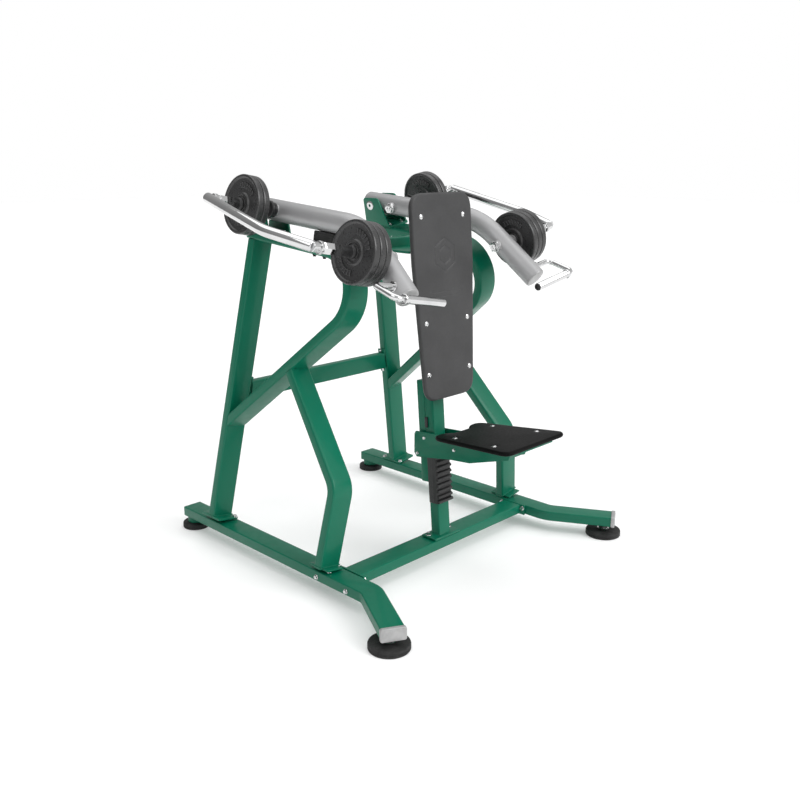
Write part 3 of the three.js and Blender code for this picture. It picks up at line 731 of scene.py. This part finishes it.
# ---- Arms ----
def build_pivot(word, side):
    place = side_frame(side)
    y, u = ARM_PIVOT
    top = hoop_run(0) + TUBE[1] / 2 + FIT

    def run_top(at):
        return top + HOOP_RISE * at

    bm = bmesh.new()
    rear, front, wide, thick = 700, 556, 58, 9
    cheek = [(rear, run_top(rear)), (rear, u + 32), (612, u + 32), (front, run_top(front))]
    for x0, x1 in ((50, wide), (-wide, -50)):
        add_plate(bm, cheek, x0, x1, 1.2, 12, above=u)
    sole = [(rear, run_top(rear)), (rear, run_top(rear) + thick)]
    sole += [(front, run_top(front) + thick), (front, run_top(front))]
    add_plate(bm, sole, -wide, wide, 1.5)
    for inside in (-48, 48):
        add_weld(bm, [(inside, at, run_top(at) + 10) for at in (560, 696)], 3)
    finish_piece(
        f"{word}_pivot_cheeks", bm, place, "green_paint", "frame", [f"{word}_pivot_bracket"]
    )

    bm = bmesh.new()
    half = [(6, 57), (6, 61.4), (6.6, 62), (16, 62), (19.5, 60), (20, 58.5)]
    profile = [(0, -57), *[(r, -x) for r, x in half], (12.5, -58.3), (12.5, 58.3)]
    profile += [*half[::-1], (0, 57)]
    add_lathe(bm, profile, shift((0, y, u)))
    finish_piece(f"{word}_pivot_pin", bm, place, "chrome", "frame", [f"{word}_pivot_shaft"])

    bm = bmesh.new()
    for x in (-36, 36):
        for bolt_y in (575, 680):
            add_bolt(bm, (x, bolt_y, run_top(bolt_y) + thick), (0, 0, 1), 13, 9, 7)
    finish_piece(f"{word}_pivot_bolts", bm, place, "chrome", "frame")

    bm = bmesh.new()
    front, rear = 212, 325
    clear = ARM_RADIUS * math.hypot(1, ARM_SLOPE) + FIT
    under_arm = [(at, arm_line(at) - clear) for at in (rear, front)]
    on_run = [(at, run_top(at)) for at in (front, rear)]
    add_plate(bm, on_run + under_arm, -27, 27, 3, 6)
    for k in range(3):
        level = run_top(268) + 14 + 11 * k
        add_box(bm, (-27.6, 220, level), (27.6, 318, level + 4), 1.2)
    under_run = -TUBE[1] - 2 * FIT
    for bolt_y in (240, 296):
        add_bolt(bm, (36, bolt_y, run_top(bolt_y) + under_run), (0, 0, -1), 10, 8, 7)
    finish_piece(
        f"{word}_bumper", bm, place, "black_rubber", "frame", [f"{word}_rest_bumper"]
    )


def knee_route():
    """The arm's centre line, its tip and the tip's direction."""
    knee = Vector((0, *ARM_KNEE))
    along = Vector((0, *ARM_TIP))
    tip = knee + along * ARM_TIP_LENGTH
    corners = [(0, ARM_REAR, arm_line(ARM_REAR)), knee, tip]
    return rounded_route(corners, [ARM_BEND], math.radians(2)), tip, along.normalized()


def build_arm(word, side):
    place = side_frame(side)
    body = f"{word}_arm"
    route, tip, along = knee_route()
    rear_horn = Vector((0, REAR_HORN_Y, arm_line(REAR_HORN_Y)))
    front_horn = Vector((0, *FRONT_HORN))

    bm = bmesh.new()
    add_sweep(bm, route, round_section(ARM_RADIUS, 56), (1, 0, 0), inset=1)
    pivot = Vector((0, *ARM_PIVOT))
    for at, r, half in ((pivot, 24, 49), (rear_horn, 22, 46), (front_horn, 22, 46)):
        ring = [(14, -half), (r - 1, -half), (r, 1 - half), (r, half - 1), (r - 1, half)]
        ring += [(14, half), (14, -half)]
        add_lathe(bm, ring, shift(at))
    finish_piece(f"{word}_arm_body", bm, place, "silver_paint", body, [f"{word}_arm_tube"])

    bm = bmesh.new()
    r = ARM_RADIUS - 1
    dome = [(0, FIT), (r, FIT), (r, 2), (r - 1, 4), (r - 4, 5.5), (r - 12, 6.2), (0, 6.2)]
    add_lathe(bm, dome, aim(tip, along), 56)
    finish_piece(f"{word}_arm_cap", bm, place, "silver_cap", body, [f"{word}_arm_end_cap"])

    for name, at, reach, radius in (
        ("rear", rear_horn, REAR_REACH, 24),
        ("front", front_horn, FRONT_REACH, 21),
    ):
        bm = bmesh.new()
        turn = shift(at)
        bar, face, width = SHAFT_RADIUS, 46.3, 3
        shaft = [(0, 40), (bar, 40), (bar, face), (radius - 2, face), (radius, face + 2)]
        shaft += [(radius, face), (radius - 3, face + width), (14, face + width)]
        shaft += [(bar, face + width + 1), (bar, reach - 2), (11, reach), (0, reach)]
        add_lathe(bm, shaft, turn)
        stud = [(0, -60), (6, -60), (6, -65), (7, -66), (11, -66), (12, -65)]
        add_lathe(bm, [*stud, (12, -56), (0, -56)], turn, 32)
        nut = [(10, -63), (18, -63), (20.5, -61.5), (20.5, -52), (10, -52), (10, -63)]
        add_lathe(bm, nut, turn, 6)
        washer = [(10, -52), (21.4, -52), (22, -51.4), (22, -47), (21.4, -face), (10, -face)]
        add_lathe(bm, [*washer, washer[0]], turn)
        finish_piece(f"{word}_{name}_shaft", bm, place, "chrome", body, [f"{word}_{name}_horn"])

    bm = bmesh.new()
    boss = [(13, 49.5), (26, 49.5), (28, 51), (28, 60), (26, 61.5), (26, 66), (31, 67)]
    boss += [(33, 69), (33, 77), (31, 79.5), (18, 80.3), (13, 80.3), (13, 49.5)]
    add_lathe(bm, boss, shift(rear_horn))
    finish_piece(f"{word}_rear_boss", bm, place, "black_plastic", body)

    bm = bmesh.new()
    boss = [(13, 49.5), (20, 49.5), (22, 50.5), (22, 59), (20.5, 60.5), (13, 60.5), (13, 49.5)]
    add_lathe(bm, boss, shift(front_horn))
    finish_piece(f"{word}_front_boss", bm, place, "silver_paint", body)

    build_plates(word, place, body, "rear", rear_horn, REAR_FIRST, REAR_PLATES, REAR_HUB)
    build_plates(word, place, body, "front", front_horn, FRONT_FIRST, FRONT_PLATES, FRONT_HUB)
    build_guard(word, place, body, rear_horn, front_horn)
    build_handle(word, place, body)


def plate_profile(start):
    """A plate's half section, mirrored: hub, groove, ring, deep web and rolled rim."""
    rim = PLATE_RADIUS
    half = [
        (13.4, 3.0), (15, 1.6), (23, 1.6), (25, 3.0), (26, 6.6), (31, 7.0), (33, 3.4),
        (35, 1.8), (41, 1.8), (43, 3.4), (46, 6.6), (92, 6.6), (95, 6.0), (98.5, 1.8),
        (101, 0.4), (106, 0.4), (rim - 1.4, 1.6), (rim, 4.5), (rim, 7.0),
    ]
    mirrored = [(r, PLATE_THICK - x) for r, x in reversed(half)]
    return [(r, start + x) for r, x in half + mirrored + [half[0]]]


def build_plates(word, place, body, name, at, first, count, hub_length):
    mark_inner, mark_outer, mark_depth = 60, 80, 4.8
    for i in range(count):
        start = first + i * PLATE_STEP
        bm = bmesh.new()
        turn = shift(at) @ Matrix.Rotation(0.35 * i, 4, "X")
        add_lathe(bm, plate_profile(start), turn, 96)
        # Plain raised dashes stand where such plates carry their markings.
        for face in (start + 1.8, start + PLATE_THICK - 6.6):
            for centre in (0, math.pi):
                for k in range(-3, 4):
                    spoke = turn @ Matrix.Rotation(centre + 0.2 * k, 4, "X")
                    low, high = (face, -6, mark_inner), (face + mark_depth, 6, mark_outer)
                    add_box(bm, low, high, 1.0, spoke, 1)
        piece, node = f"{word}_{name}_disc_{i + 1}", f"{word}_{name}_plate_{i + 1}"
        finish_piece(piece, bm, place, "plate_iron", body, [node])
    start = first + count * PLATE_STEP
    end = start + hub_length
    bm = bmesh.new()
    profile = [(13.4, start), (23, start), (24.5, start + 1.5), (24.5, start + 6)]
    profile += [(23, start + 8.5), (20, start + 11), (19, start + 14)]
    rib = start + 18
    while rib < end - 8:
        profile += [(19, rib), (17.6, rib + 0.8), (17.6, rib + 2.6), (19, rib + 3.4)]
        rib += 7
    profile += [(19, end - 1.5), (17.5, end), (13.4, end), (13.4, start)]
    add_lathe(bm, profile, shift(at))
    piece, node = f"{word}_{name}_collar", f"{word}_{name}_hub"
    finish_piece(piece, bm, place, "black_plastic", body, [node])


def build_guard(word, place, body, rear, front):
    bm = bmesh.new()
    rear_end = 352
    corners = [(rear_end, rear.y - 6, rear.z + 2), (376, 158, 1192), (314, front.y - 4, front.z)]
    route = rounded_route(corners, [160], math.radians(2))
    add_sweep(bm, route, round_section(19.5, 40), (0, 0, 1), inset=4)
    rear_start = REAR_FIRST + REAR_PLATES * PLATE_STEP + REAR_HUB + FIT
    front_start = FRONT_FIRST + FRONT_PLATES * PLATE_STEP + FRONT_HUB + FIT
    for at, start, end in ((rear, rear_start, rear_end), (front, front_start, 318)):
        turn = shift(at)
        sleeve = [(13, start), (16, start), (17, start + 1), (17, end - 2), (15, end), (0, end)]
        add_lathe(bm, [(0, start + 1), *sleeve], turn, 40)
        hexagon = [(14, start), (20, start), (21.5, start + 2), (21.5, end - 44)]
        hexagon += [(20, end - 42), (14, end - 42), (14, start)]
        add_lathe(bm, hexagon, turn, 6)
        ring = [(16, end - 41), (21, end - 41), (22, end - 40), (22, end - 29)]
        ring += [(21, end - 28), (16, end - 28), (16, end - 41)]
        add_lathe(bm, ring, turn, 40)
    finish_piece(f"{word}_guard_tube", bm, place, "chrome", body, [f"{word}_guard_bar"])


def build_handle(word, place, body):
    bm = bmesh.new()
    root = Vector((22, *ROD_ROOT))
    out = Vector((GRIP_OUT, *ROD_ROOT))
    bend = Vector((GRIP_OUT, GRIP_Y, GRIP_U))
    end = Vector((GRIP_IN, GRIP_Y, GRIP_U))
    route = rounded_route([root, out, bend, end], [26, 24])
    add_sweep(bm, route, round_section(11, 32), Vector((0, 0.6, 1)).normalized())
    ring = [(11, 41), (17, 41), (18.5, 42.5), (18.5, 48), (17, 49.5), (11, 49.5), (11, 41)]
    add_lathe(bm, ring, shift((0, *ROD_ROOT)), 40)
    finish_piece(f"{word}_handle_bar", bm, place, "chrome", body, [f"{word}_handle_rod"])

    bm = bmesh.new()
    grip = f"{word}_grip"
    turn = shift((0, GRIP_Y, GRIP_U))
    start, stop = GRIP_IN - 12, GRIP_OUT - 34
    profile = [(0, start + 6.3), (12.6, start + 6.3), (14.2, start + 6.8), (15, start + 8.5)]
    profile += [(15, stop - 13), (15.4, stop - 11.5), (17.4, stop - 11), (18, stop - 10)]
    profile += [(18, stop - 2), (17, stop), (11.6, stop), (11.6, GRIP_IN - 0.5), (0, GRIP_IN - 0.5)]
    add_lathe(bm, profile, turn)
    finish_piece(f"{word}_grip_sleeve", bm, place, "chrome", grip, [f"{word}_handle_grip"])

    bm = bmesh.new()
    plug = [(0, start + 1.6), (3.4, start + 1.6), (4, start), (8, start + 0.5)]
    plug += [(11.6, start + 2), (13.4, start + 4.2), (13.8, start + 6), (0, start + 6)]
    add_lathe(bm, plug, turn, 40)
    finish_piece(f"{word}_grip_plug", bm, place, "black_plastic", grip)


# ---- Seat post, rack and brackets ----
def build_post():
    refine("seat_post", "post_tube", "green_paint", "frame", 3.5)
    refine("seat_guide", "guide_tube", "green_paint", "frame", 4)
    refine("lower_pad_bracket", "low_bracket", "green_paint", "frame", 2)
    refine("upper_pad_bracket", "high_bracket", "green_paint", "frame", 2)
    refine("ratchet_pin", "latch_pin", "chrome", "seat", 0.8)

    bm = bmesh.new()
    front, inner, half = -POST_HALF_Y - FIT, POST_HALF_X + FIT, 42
    foot, head = 143, 392
    add_box(bm, (-half, front - 6, foot), (half, front, head), 1.5)
    for side in (-1, 1):
        x0, x1 = sorted((side * inner, side * half))
        add_box(bm, (x0, front - 1, foot), (x1, 15, head), 1.5)
        add_box(bm, (x0 - 0.7, -14, foot + 7), (x1 + 0.7, -6, head - 7), 1.2)
    lip = [(0, -half), (5, -half), (6.5, 1.5 - half), (6.5, half - 1.5), (5, half), (0, half)]
    add_lathe(bm, lip, shift((0, front - 10.5, 150)), 24)
    add_box(bm, (-half, front - 12, 144), (half, front - 1, 153), 2)
    for i in range(7):
        z = 162 + i * 24
        tooth = [(front - 5, z), (front - 15, z + 3), (front - 15, z + 11), (front - 5, z + 17)]
        add_plate(bm, tooth, 2 - half, half - 2, 0, 3.2)
    finish_piece("rack", bm, POST, "black_plastic", "frame", ["height_rack"])

    bm = bmesh.new()
    for side in (-1, 1):
        x0, x1 = sorted((side * (POST_HALF_X + 7), side * (POST_HALF_X + 0.2)))
        add_box(bm, (x0, 8, 450), (x1, 22, 492), 2.5)
    finish_piece("post_stops", bm, POST, "black_plastic", "frame")


# ---- Pads ----
def outline_points(pieces, steps=14):
    """A closed outline from straight and curved stretches: (x, y) or (control, end)."""
    points = []
    for item in pieces:
        if isinstance(item[0], tuple):
            control, end = (Vector(p) for p in item)
            start = Vector(points[-1])
            for k in range(1, steps + 1):
                t = k / steps
                points.append(tuple(start * (1 - t) ** 2 + control * 2 * t * (1 - t) + end * t * t))
        else:
            points.append(item)
    return points


def resample(points, spacing):
    made = []
    count = len(points)
    for i in range(count):
        a, b = Vector(points[i]), Vector(points[(i + 1) % count])
        steps = max(1, round((b - a).length / spacing))
        made += [a.lerp(b, k / steps) for k in range(steps)]
    return made


def inside(point, outline):
    within = False
    for i in range(len(outline)):
        a, b = outline[i - 1], outline[i]
        if (a.y > point.y) != (b.y > point.y):
            if point.x < (b.x - a.x) * (point.y - a.y) / (b.y - a.y) + a.x:
                within = not within
    return within


def segment_distance(point, a, b):
    ab = b - a
    t = max(0, min(1, (point - a).dot(ab) / max(ab.length_squared, 1e-9)))
    return (point - a - ab * t).length


def edge_distance(point, outline):
    return min(segment_distance(point, outline[i - 1], outline[i]) for i in range(len(outline)))


def inset_rings(coarse, fine, depths):
    """The outline, and copies of it moved inward by each depth after the first."""
    count = len(coarse)
    rings = [coarse]
    for depth in depths[1:]:
        ring = []
        for i, p in enumerate(coarse):
            tangent = (coarse[(i + 1) % count] - coarse[i - 1]).normalized()
            ring.append(p + Vector((-tangent.y, tangent.x)) * depth)
        rings.append(ring)
    if not inside(rings[-1][0], fine):
        rings[1:] = [[p * 2 - q for p, q in zip(coarse, ring)] for ring in rings[1:]]
    return rings


def grid_inside(coarse, fine, margin, step=6.5):
    """Grid points at least a margin inside the outline."""
    made = []
    y, right, top = min(p.y for p in coarse), max(p.x for p in coarse), max(p.y for p in coarse)
    while y < top:
        x = min(p.x for p in coarse)
        while x < right:
            p = Vector((x, y))
            if inside(p, fine) and edge_distance(p, coarse) > margin:
                made.append(p)
            x += step
        y += step
    return made


def detail_seeds(buttons, marks):
    """Close points round each button and along each mark, so the mesh can follow them."""
    seeds = []
    around = 20
    for cx, cy in buttons:
        for radius in (4, 8, 11, 14, 19):
            for k in range(around):
                angle = math.tau * k / around
                seeds.append(Vector((cx + radius * math.cos(angle), cy + radius * math.sin(angle))))
    for a, b in marks:
        normal = Vector((a.y - b.y, b.x - a.x)).normalized()
        steps = max(2, round((b - a).length / 2.5))
        for k in range(steps + 1):
            for shift in (-4.6, -2.3, 0, 2.3, 4.6):
                seeds.append(a.lerp(b, k / steps) + normal * shift)
    return seeds


def build_pad(
    name, outline, thickness, crown, rim, buttons, matrix, slot, body, replaced, marks=()
):
    """A firm moulded pad: a crowned face that rolls over a rounded rim, sunk round each button
    and along each mark, with a seam at mid edge."""
    coarse = resample(outline, 6)
    fine = [Vector(p) for p in outline]
    centres = [Vector(c) for c in buttons]
    stretches = [(Vector(a), Vector(b)) for mark in marks for a, b in zip(mark, mark[1:])]
    count = len(coarse)
    depths = (0.0, 0.5, 1.4, 2.8, 4.6, 7.0, 10.0)
    rings = inset_rings(coarse, fine, depths)
    button_clear, mark_clear = 22, 7
    inner = [
        p
        for p in grid_inside(coarse, fine, depths[-1] + 3.5)
        if all((p - c).length > button_clear for c in centres)
        and all(segment_distance(p, a, b) > mark_clear for a, b in stretches)
    ]
    flat = [p for ring in rings for p in ring] + inner + detail_seeds(buttons, stretches)
    outer = [(i, (i + 1) % count) for i in range(count)]
    last = (len(rings) - 1) * count
    border = [(last + i, last + j) for i, j in outer]
    verts, _, faces, *_ = geometry.delaunay_2d_cdt(
        flat, outer + border, [list(range(count))], 1, 0.05
    )

    half = thickness / 2

    def heights_at(p):
        """Height of the front face, and of the plain back face, over the pad's mid plane."""
        d = edge_distance(p, coarse)
        roll = min(d / rim, 1)
        squareness = 2.2
        rise = half * (1 - (1 - roll) ** squareness) ** (1 / squareness)
        swell = crown * (1 - math.exp(-d / 45))
        sink = groove = 0.0
        for c in centres:
            sink = max(sink, 2.4 * math.exp(-(((p - c).length / 12) ** 2)))
        for a, b in stretches:
            away = segment_distance(p, a, b)
            groove = max(groove, 2.2 * math.exp(-((away / 2.6) ** 2)))
        wave = 0.25 * math.sin(p.x / 31 + 1.3) * math.sin(p.y / 47)
        return rise + swell - sink - groove + wave * roll, min(half, rise)

    bm = bmesh.new()
    top, bottom = [], []
    for v in verts:
        up, down = heights_at(Vector(v))
        on_edge = edge_distance(Vector(v), coarse) < 0.02
        top.append(bm.verts.new((v[0], v[1], half if on_edge else half + up - crown)))
        bottom.append(top[-1] if on_edge else bm.verts.new((v[0], v[1], half - down)))
    for face in faces:
        bm.faces.new([top[i] for i in face])
        back = [bottom[i] for i in reversed(face)]
        if set(back) != {top[i] for i in face}:
            bm.faces.new(back)
    pad = finish_piece(name, bm, matrix, slot, body, [replaced], 60)

    seam = bmesh.new()
    path = [Vector((p.x, p.y, half)) for p in coarse]
    rings = []
    sides, radius = 8, 0.9
    for i, here in enumerate(path):
        tangent = (path[(i + 1) % count] - path[i - 1]).normalized()
        side = Vector((tangent.y, -tangent.x, 0))
        around = round_section(radius, sides)
        rings.append([here + side * x + Vector((0, 0, z)) for x, z in around])
    made = add_surface(seam, rings, closed_ends=False)
    for k in range(sides):
        j = (k + 1) % sides
        seam.faces.new((made[-1][k], made[-1][j], made[0][j], made[0][k]))
    finish_piece(f"{name}_seam", seam, matrix, slot, body)

    bolts = bmesh.new()
    for x, y in buttons:
        add_button(bolts, (x, y, thickness - crown - 1.2), (0, 0, 1), 10.5)
    finish_piece(f"{name}_bolts", bolts, matrix, "chrome", body)



def build_pads():
    low, wide, bottom, top, corner = 135, 165, 578, 1345, 62
    back = outline_points(
        [
            (-low + 55, bottom), (low - 55, bottom), ((low, bottom), (low + 4, bottom + 60)),
            (wide, top - 250), (wide, top - corner), ((wide, top), (wide - corner, top)),
            (-wide + corner, top), ((-wide, top), (-wide, top - corner)), (-wide, top - 250),
            (-low - 4, bottom + 60), ((-low, bottom), (-low + 55, bottom)),
        ]
    )
    # The outline is in x and up the post; the pad's face looks forward.
    forward = shift((0, -POST_HALF_Y - 47.6, 0)) @ Matrix.Rotation(math.pi / 2, 4, "X")
    turn = POST @ forward
    buttons = [(sx * 115, z) for z in (1262, 874, 681) for sx in (-1, 1)]
    marks = [[(-80, 985), (80, 985)], [(-55, 968), (55, 968)]]
    angles = [math.tau * k / 6 for k in range(7)]
    for radius in (34, 62):
        hexagon = [(radius * math.sin(a), 1120 + radius * math.cos(a)) for a in angles]
        marks.insert(0, hexagon)
    node = "backrest_pad"
    build_pad(
        "back_cushion", back, BACK_THICK, 2.0, 7, buttons, turn, "back_vinyl", "frame", node, marks
    )
    rear, front, length = 134, 177, 390
    seat = outline_points(
        [
            (-front + 40, -length), (front - 40, -length),
            ((front, -length), (front - 2, -length + 40)), (rear + 6, -40),
            ((rear, 0), (rear - 30, 0)), ((62, 0), (50, -32)), (-50, -32),
            ((-62, 0), (-rear + 30, 0)), ((-rear, 0), (-rear - 6, -40)),
            (-front + 2, -length + 40), ((-front, -length), (-front + 40, -length)),
        ]
    )
    buttons = [(-126, -290), (126, -290), (-110, -92), (110, -92)]
    turn = SEAT @ shift((0, 0, -SEAT_THICK))
    node = "seat_pad"
    build_pad("seat_cushion", seat, SEAT_THICK, 2.0, 6, buttons, turn, "seat_vinyl", "seat", node)


def build_carriage():
    refine("seat_carriage", "carriage", "green_paint", "seat", 1.6)
    bm = bmesh.new()
    for side in (-1, 1):
        for y, z in ((80, 430), (44, 500), (-112, 486)):
            add_bolt(bm, (side * 50, y, z), (side, 0, 0), 9, 6.5, 5)
    finish_piece("carriage_bolts", bm, GROUND, "chrome", "seat")


# ---- Room, light and camera ----
def build_room():
    bm = bmesh.new()
    half, thick = 30, 0.02
    corners = ((-half, -half), (half, -half), (half, half), (-half, half))
    add_surface(bm, [[(x, y, z) for x, y in corners] for z in (0, -thick)])
    floor = make_object("floor", bm, floor_paint())

    build_sky()
    scene = bpy.context.scene
    scene.view_settings.view_transform = "Standard"

    # Each lamp: name, place, kind, a sun's angle or an area's width, and power.
    middle = Vector((0, 0, (cad_bounds[0][2] + cad_bounds[1][2]) / 2))
    for name, place, kind, size, power in (
        ("key", (1.0, -3.0, 2.8), "SUN", math.radians(40), 1.7),
        ("top", (0.4, 0.6, 4.0), "SUN", math.radians(70), 1.3),
        ("strip", (-3.2, -1.2, 3.4), "AREA", 2.4, 26),
    ):
        light = bpy.data.lights.new(name, kind)
        light.energy = power
        if kind == "SUN":
            light.angle = size
        else:
            light.size = size
        lamp = bpy.data.objects.new(name, light)
        lamp.location = place
        lamp.rotation_euler = (middle - Vector(place)).to_track_quat("-Z", "Y").to_euler()
        scene.collection.objects.link(lamp)


def build_sky():
    """White to the camera. For light, a room that is bright in front and dim behind."""
    world = bpy.data.worlds.new("studio")
    world.use_nodes = True
    new, join = world.node_tree.nodes.new, world.node_tree.links.new
    background = world.node_tree.nodes["Background"]
    place = new("ShaderNodeTexCoord")
    facing = new("ShaderNodeVectorMath")
    facing.operation = "DOT_PRODUCT"
    facing.inputs[1].default_value = (0.6, -0.8, 0.0)
    light = new("ShaderNodeMapRange")
    dim, bright = 0.24, 0.75
    fill(light, From_Min=-1.0, From_Max=1.0, To_Min=dim, To_Max=bright)
    path = new("ShaderNodeLightPath")
    mix = new("ShaderNodeMix")
    fill(mix, B=1.0)
    join(place.outputs["Generated"], facing.inputs[0])
    join(facing.outputs["Value"], light.inputs["Value"])
    join(path.outputs["Is Camera Ray"], mix.inputs["Factor"])
    join(light.outputs["Result"], mix.inputs["A"])
    join(mix.outputs["Result"], background.inputs["Strength"])
    fill(background, Color=(1, 1, 1, 1))
    bpy.context.scene.world = world


def build_camera():
    """The photo's view, from a least-squares fit of the machine's own edges."""
    azimuth, elevation = math.radians(-45.44), math.radians(15.27)
    camera = bpy.data.cameras.new("camera")
    camera.lens = 39.84
    camera.sensor_width = 36
    viewer = bpy.data.objects.new("camera", camera)
    viewer.location = (-2.4818, ORIGIN_Y - 2.2177, 1.5614)
    viewer.rotation_euler = (math.pi / 2 - elevation, 0, azimuth)
    bpy.context.scene.collection.objects.link(viewer)
    bpy.context.scene.camera = viewer


for word, side in SIDES:
    build_base(word, side)
    build_side_frame(word, side)
    build_pivot(word, side)
    build_arm(word, side)
build_front_crossbeam()
build_crossbeams()
build_post()
build_pads()
build_carriage()
slots = {part["node"]: part["material_slot"] for part in frame["record"]["subparts"]}
for node in frame["nodes"].values():
    for slot in node.material_slots:
        slot.material = MATERIALS[slots[node.name]]
build_room()
build_camera()
